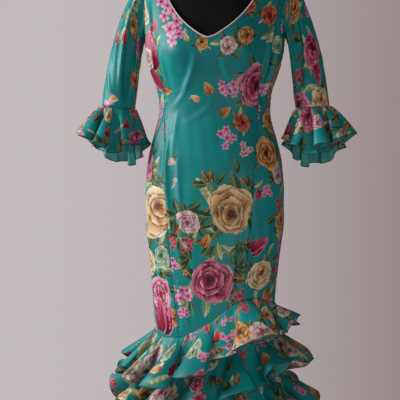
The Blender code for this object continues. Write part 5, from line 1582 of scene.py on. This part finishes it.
EDGING = edging_tree()
HEM_VALUES = {
    "Radius": 0.0009, "Step": 0.0045 * COARSER, "Sides": 6, "Stitch Every": 0.0080, "Stitch Length": 0.0026,
    "Stitch Thickness": 0.0007, "Cord": HEM_THREAD, "Thread": HEM_THREAD,
}
for name, (edge, out) in hem_paths.items():
    path = path_mesh(name, edge, out, True)
    grow(name.replace("flounce", "hem"), EDGING, path, HEM_VALUES)

# %% The neck piping
BINDING_RADIUS = 0.0019
angle, height = neck_line()
edge, out = on_body(angle, height)
# The point of the V has no normal of its own, and past it the wearer's left half begins.
V_NUMBER = len(angle) // 2
out[V_NUMBER] = (0, -1, 0)
inwards = unit(np.cross(out, unit(np.gradient(edge, axis=0))))
inwards *= -np.sign((inwards[V_NUMBER + 30 :, 0]).sum())
PIPING_VALUES = {
    "Radius": BINDING_RADIUS, "Step": 0.002 * COARSER, "Sides": 12, "Stitch Every": 0.0045,
    "Stitch Length": 0.0022, "Stitch Thickness": 0.0005, "Cord": PIPING, "Thread": PIPING,
}
path = path_mesh("neck_piping", edge + inwards * (BINDING_RADIUS + SEAM_GAP), out, False)
grow("neck_piping", EDGING, path, PIPING_VALUES, ["neck_binding"])

# %% [markdown]
# ## The form and its stand
#
# The form is a padded torso in black jersey, with a cap on the neck, and it stands on a pole with a round
# base. The torso follows the dress's own surface a few millimetres inside it. The turned parts are profiles
# spun round the middle, with rounded edges that catch the light.

# %% Torso, cap, collar, pole and base
def finish_shape(mesh, shape, sharp_from):
    """Writes a closed shape to its mesh, with smooth faces and sharp corners."""
    bmesh.ops.recalc_face_normals(shape, faces=shape.faces)
    shape.to_mesh(mesh)
    shape.free()
    mesh.shade_smooth()
    mesh.set_sharp_from_angle(angle=math.radians(sharp_from))


FORM_BOTTOM, FORM_TOP, FORM_COLUMNS, FORM_ROWS = 0.70, 1.50, 96, 110
FORM_INSIDE = ((FORM_BOTTOM, 0.0055), (1.30, 0.0055), (1.375, 0.0043), (FORM_TOP, 0.0043))
turn, height = np.meshgrid(
    np.linspace(0, 2 * math.pi, FORM_COLUMNS, endpoint=False), np.linspace(FORM_BOTTOM, FORM_TOP, FORM_ROWS)
)
inside = smooth_table(height, [row[0] for row in FORM_INSIDE], [row[1] for row in FORM_INSIDE])
points, normals = on_body(turn, height)
points = points - normals * inside[..., None]
points[0, :, 2], points[-1, :, 2] = FORM_BOTTOM, FORM_TOP
mesh = bpy.data.meshes.new("form_torso_cover")
numbers = np.arange(points.size // 3).reshape(turn.shape)
caps = [numbers[0, ::-1].tolist(), numbers[-1].tolist()]
quads = grid_quads(FORM_ROWS, FORM_COLUMNS, closed=True)
mesh.from_pydata(points.reshape(-1, 3).tolist(), [], quads.tolist() + caps)
shape = bmesh.new()
shape.from_mesh(mesh)
finish_shape(mesh, shape, 50)
add_piece("form_torso_cover", mesh, [JERSEY], ["form_torso"])


def painted_metal(name, colour, roughness, metallic):
    made, tree, shader = start_material(name, colour, roughness, metallic)
    worn = mapped(tree, noise(tree, 60.0), 0.3, 0.7, roughness - 0.06, roughness + 0.1)
    tree.links.new(worn, shader.inputs["Roughness"])
    deep = tuple(0.8 * value for value in colour)
    tree.links.new(cloudy(tree, 25.0, 0.4, 0.6, deep, colour), shader.inputs["Base Color"])
    bump(tree, shader, noise(tree, 450.0, 2.0), 0.08, 0.0003)
    return made


BLACK_METAL = painted_metal("stand_paint", (0.10, 0.10, 0.11), 0.40, 0.0)
ZIP_METAL = painted_metal("zip_paint", (0.05, 0.45, 0.42), 0.35, 0.5)


def turned(name, profile, replaced):
    """A round piece from a profile of (radius, height), bottom to top, with rounded edges."""
    mesh = bpy.data.meshes.new(name)
    shape = bmesh.new()
    vertices = [shape.verts.new((radius, 0, height)) for radius, height in profile]
    edges = [shape.edges.new(pair) for pair in zip(vertices, vertices[1:])]
    bmesh.ops.spin(
        shape, geom=vertices + edges, cent=(0, 0, 0), axis=(0, 0, 1), angle=2 * math.pi, steps=64,
        use_merge=True,
    )
    bmesh.ops.remove_doubles(shape, verts=shape.verts, dist=1e-6)
    finish_shape(mesh, shape, 40)
    return add_piece(name, mesh, [BLACK_METAL], [replaced])


CAP_BOTTOM, CAP_RADIUS, CAP_SIDE, CAP_DOME = 1.5003, 0.050, 0.004, 0.022
dome = [
    (CAP_RADIUS * math.cos(t), CAP_BOTTOM + CAP_SIDE + CAP_DOME * math.sin(t))
    for t in np.radians(np.arange(0, 90, 7.5))
]
PROFILES = {
    "neck_cap": (
        (0, CAP_BOTTOM), (CAP_RADIUS - 0.001, CAP_BOTTOM), (CAP_RADIUS, CAP_BOTTOM + 0.001), *dome,
        (0, CAP_BOTTOM + CAP_SIDE + CAP_DOME),
    ),
    "stand_collar": (
        (0, 0.6697), (0.0175, 0.6697), (0.0185, 0.6705), (0.033, 0.6909), (0.034, 0.6925), (0.034, 0.6990),
        (0.0333, 0.6997), (0, 0.6997),
    ),
    "stand_pole": ((0, 0.0163), (0.0125, 0.0163), (0.0125, 0.6694), (0, 0.6694)),
    "stand_base": (
        (0, 0), (0.153, 0), (0.155, 0.002), (0.155, 0.007), (0.1535, 0.0095), (0.149, 0.012), (0.032, 0.0158),
        (0.028, 0.016), (0, 0.016),
    ),
}
for name, profile in PROFILES.items():
    turned(name + "_turned", profile, name)

# %% [markdown]
# ## The zip
#
# The zip runs down the centre back from the neck to the hip. Its two rows of teeth mesh below the slider
# and part above it. The slider and its pull stay as the solid model has them, because the pull hangs on a
# real hinge, and they only get a better paint. The teeth are instances on two lines, one for each tape.

# %% Teeth along the centre back
def teeth_tree():
    sizes = ("Every", "Tooth Width", "Tooth Height", "Tooth Depth")
    tree, given, result = start_tree(
        "Zip teeth", [(label, "NodeSocketFloat") for label in sizes] + [("Metal", "NodeSocketMaterial")]
    )
    line = node(tree, "GeometryNodeMeshToCurve", [("Mesh", given["Path"])])
    stops = every(tree, line, given["Every"])
    sides = [("X", given["Tooth Width"]), ("Y", given["Tooth Depth"]), ("Z", given["Tooth Height"])]
    size, block = node(tree, "ShaderNodeCombineXYZ", sides), node(tree, "GeometryNodeMeshCube")
    tangent = node(tree, "GeometryNodeInputTangent")
    facing = node(tree, "FunctionNodeAlignRotationToVector", [("Vector", tangent)], axis="Z", pivot_axis="X")
    done = instanced(tree, stops, block, facing, size, given["Metal"])
    tree.links.new(done.outputs["Geometry"], result)
    return tree


TEETH = teeth_tree()
TEETH_VALUES = {
    "Every": 0.0017, "Tooth Width": 0.0020, "Tooth Height": 0.0007, "Tooth Depth": 0.0009, "Metal": ZIP_METAL,
}
ZIP_BOTTOM, ZIP_TOP, SLIDER_HEIGHT = 0.905, 1.3700, 1.3535
HALF_TOOTH, CLOSED_GAP, OPEN_GAP, TAPE_OUT = 0.0008, 0.0007, 0.0018, 0.0002
for side, word in ((1, "left"), (-1, "right")):
    height = np.linspace(ZIP_BOTTOM + (HALF_TOOTH if side > 0 else 0.0), ZIP_TOP, 200)
    line = body_point(np.full_like(height, math.pi), height)
    parted = smooth_step((height - SLIDER_HEIGHT) / (ZIP_TOP - SLIDER_HEIGHT))
    line[:, 0] = side * (CLOSED_GAP + OPEN_GAP * parted)
    line[:, 1] += TAPE_OUT
    out = np.tile((0.0, 1.0, 0.0), (len(line), 1))
    grow(f"zip_teeth_{word}", TEETH, path_mesh("zip_" + word, line, out, False), TEETH_VALUES)
for name in ("zip_slider", "zip_pull"):
    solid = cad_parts[name]
    solid.data.materials.clear()
    solid.data.materials.append(ZIP_METAL)

# %% [markdown]
# ## Cut sizes of the cloth
#
# Each sheet of cloth is declared with the flat size that it was cut to. A panel is about as large flat as
# A panel is about as large flat as it is on the body. A flounce is a curved strip, so its flat box is
# larger than its area.


# %% [markdown]
# ## Floor, light and camera
#
# A pale floor and a pale room, with one large soft light from the viewer's left, as a window gives. The
# camera stands at chest height a little to the wearer's left, where the photograph was taken from.

# %% Stage
FLOOR_RADIUS, FLOOR_HEIGHT = 0.8, -0.0005
floor_mesh = bpy.data.meshes.new("floor")
floor_shape = bmesh.new()
bmesh.ops.create_circle(floor_shape, cap_ends=True, segments=96, radius=FLOOR_RADIUS)
floor_shape.to_mesh(floor_mesh)
floor_shape.free()
floor = put("floor", floor_mesh)
floor.location.z = FLOOR_HEIGHT
floor_look, floor_tree, floor_shader = start_material("floor_paint", (0.80, 0.785, 0.79), 0.85)
floor_colour = cloudy(floor_tree, 3.0, 0.3, 0.7, (0.79, 0.775, 0.78), (0.81, 0.795, 0.80))
floor_tree.links.new(floor_colour, floor_shader.inputs["Base Color"])
floor_mesh.materials.append(floor_look)
floor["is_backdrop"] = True

# The room is lighter on the viewer's left, where the window is, and it lights less than it shows.
ROOM_GLOW, ROOM_LEFT, ROOM_RIGHT = 0.50, (0.76, 0.73, 0.735), (0.53, 0.467, 0.465)
world = bpy.data.worlds.new("room")
bpy.context.scene.world = world
world.use_nodes = True
room = world.node_tree
background = room.nodes["Background"]
facing = node(room, "ShaderNodeTexCoord").outputs["Generated"]
across = mapped(room, node(room, "ShaderNodeSeparateXYZ", [("Vector", facing)]).outputs["X"], -0.30, 0.24)
room.links.new(mixed(room, across, ROOM_LEFT, ROOM_RIGHT), background.inputs["Color"])
seen_directly = node(room, "ShaderNodeLightPath").outputs["Is Camera Ray"]
room.links.new(mapped(room, seen_directly, 0, 1, ROOM_GLOW, 1.0), background.inputs["Strength"])
bpy.context.scene.view_settings.view_transform = "Standard"


def aimed(name, data, place, aim):
    """A lamp or camera at a place, turned towards a point."""
    made = put(name, data)
    made.location = place
    made.rotation_euler = (Vector(aim) - Vector(place)).to_track_quat("-Z", "Y").to_euler()
    return made


# Name, place, point aimed at, size in metres, power in watts.
LIGHTS = (
    ("window", (-2.5, -0.6, 1.7), (0, 0, 0.65), 1.1, 70),
    ("room_fill", (1.0, -2.2, 0.25), (0, 0, 0.20), 1.4, 13),
    ("back_fill", (-0.8, 2.6, 2.2), (0, 0, 1.0), 2.0, 24),
)
for name, place, aim, size, power in LIGHTS:
    light = bpy.data.lights.new(name, "AREA")
    light.shape, light.size, light.energy = "SQUARE", size, power
    aimed(name, light, place, aim)

VIEW_ANGLE, VIEW_DISTANCE, EYE_HEIGHT, VIEW_AIM = math.radians(7), 2.6, 1.05, (-0.039, -0.005, 0.80)
eye = (VIEW_DISTANCE * math.sin(VIEW_ANGLE), -VIEW_DISTANCE * math.cos(VIEW_ANGLE), EYE_HEIGHT)
camera = aimed("camera", bpy.data.cameras.new("camera"), eye, VIEW_AIM)
camera.data.lens, camera.data.sensor_width = 86.6, 36
bpy.context.scene.camera = camera

# %% Print the sizes and finish
boxes = {"cad": box_before, "visual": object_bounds()}
boxes = {name: [[float(v) for v in corner] for corner in corners] for name, corners in boxes.items()}
print(boxes)
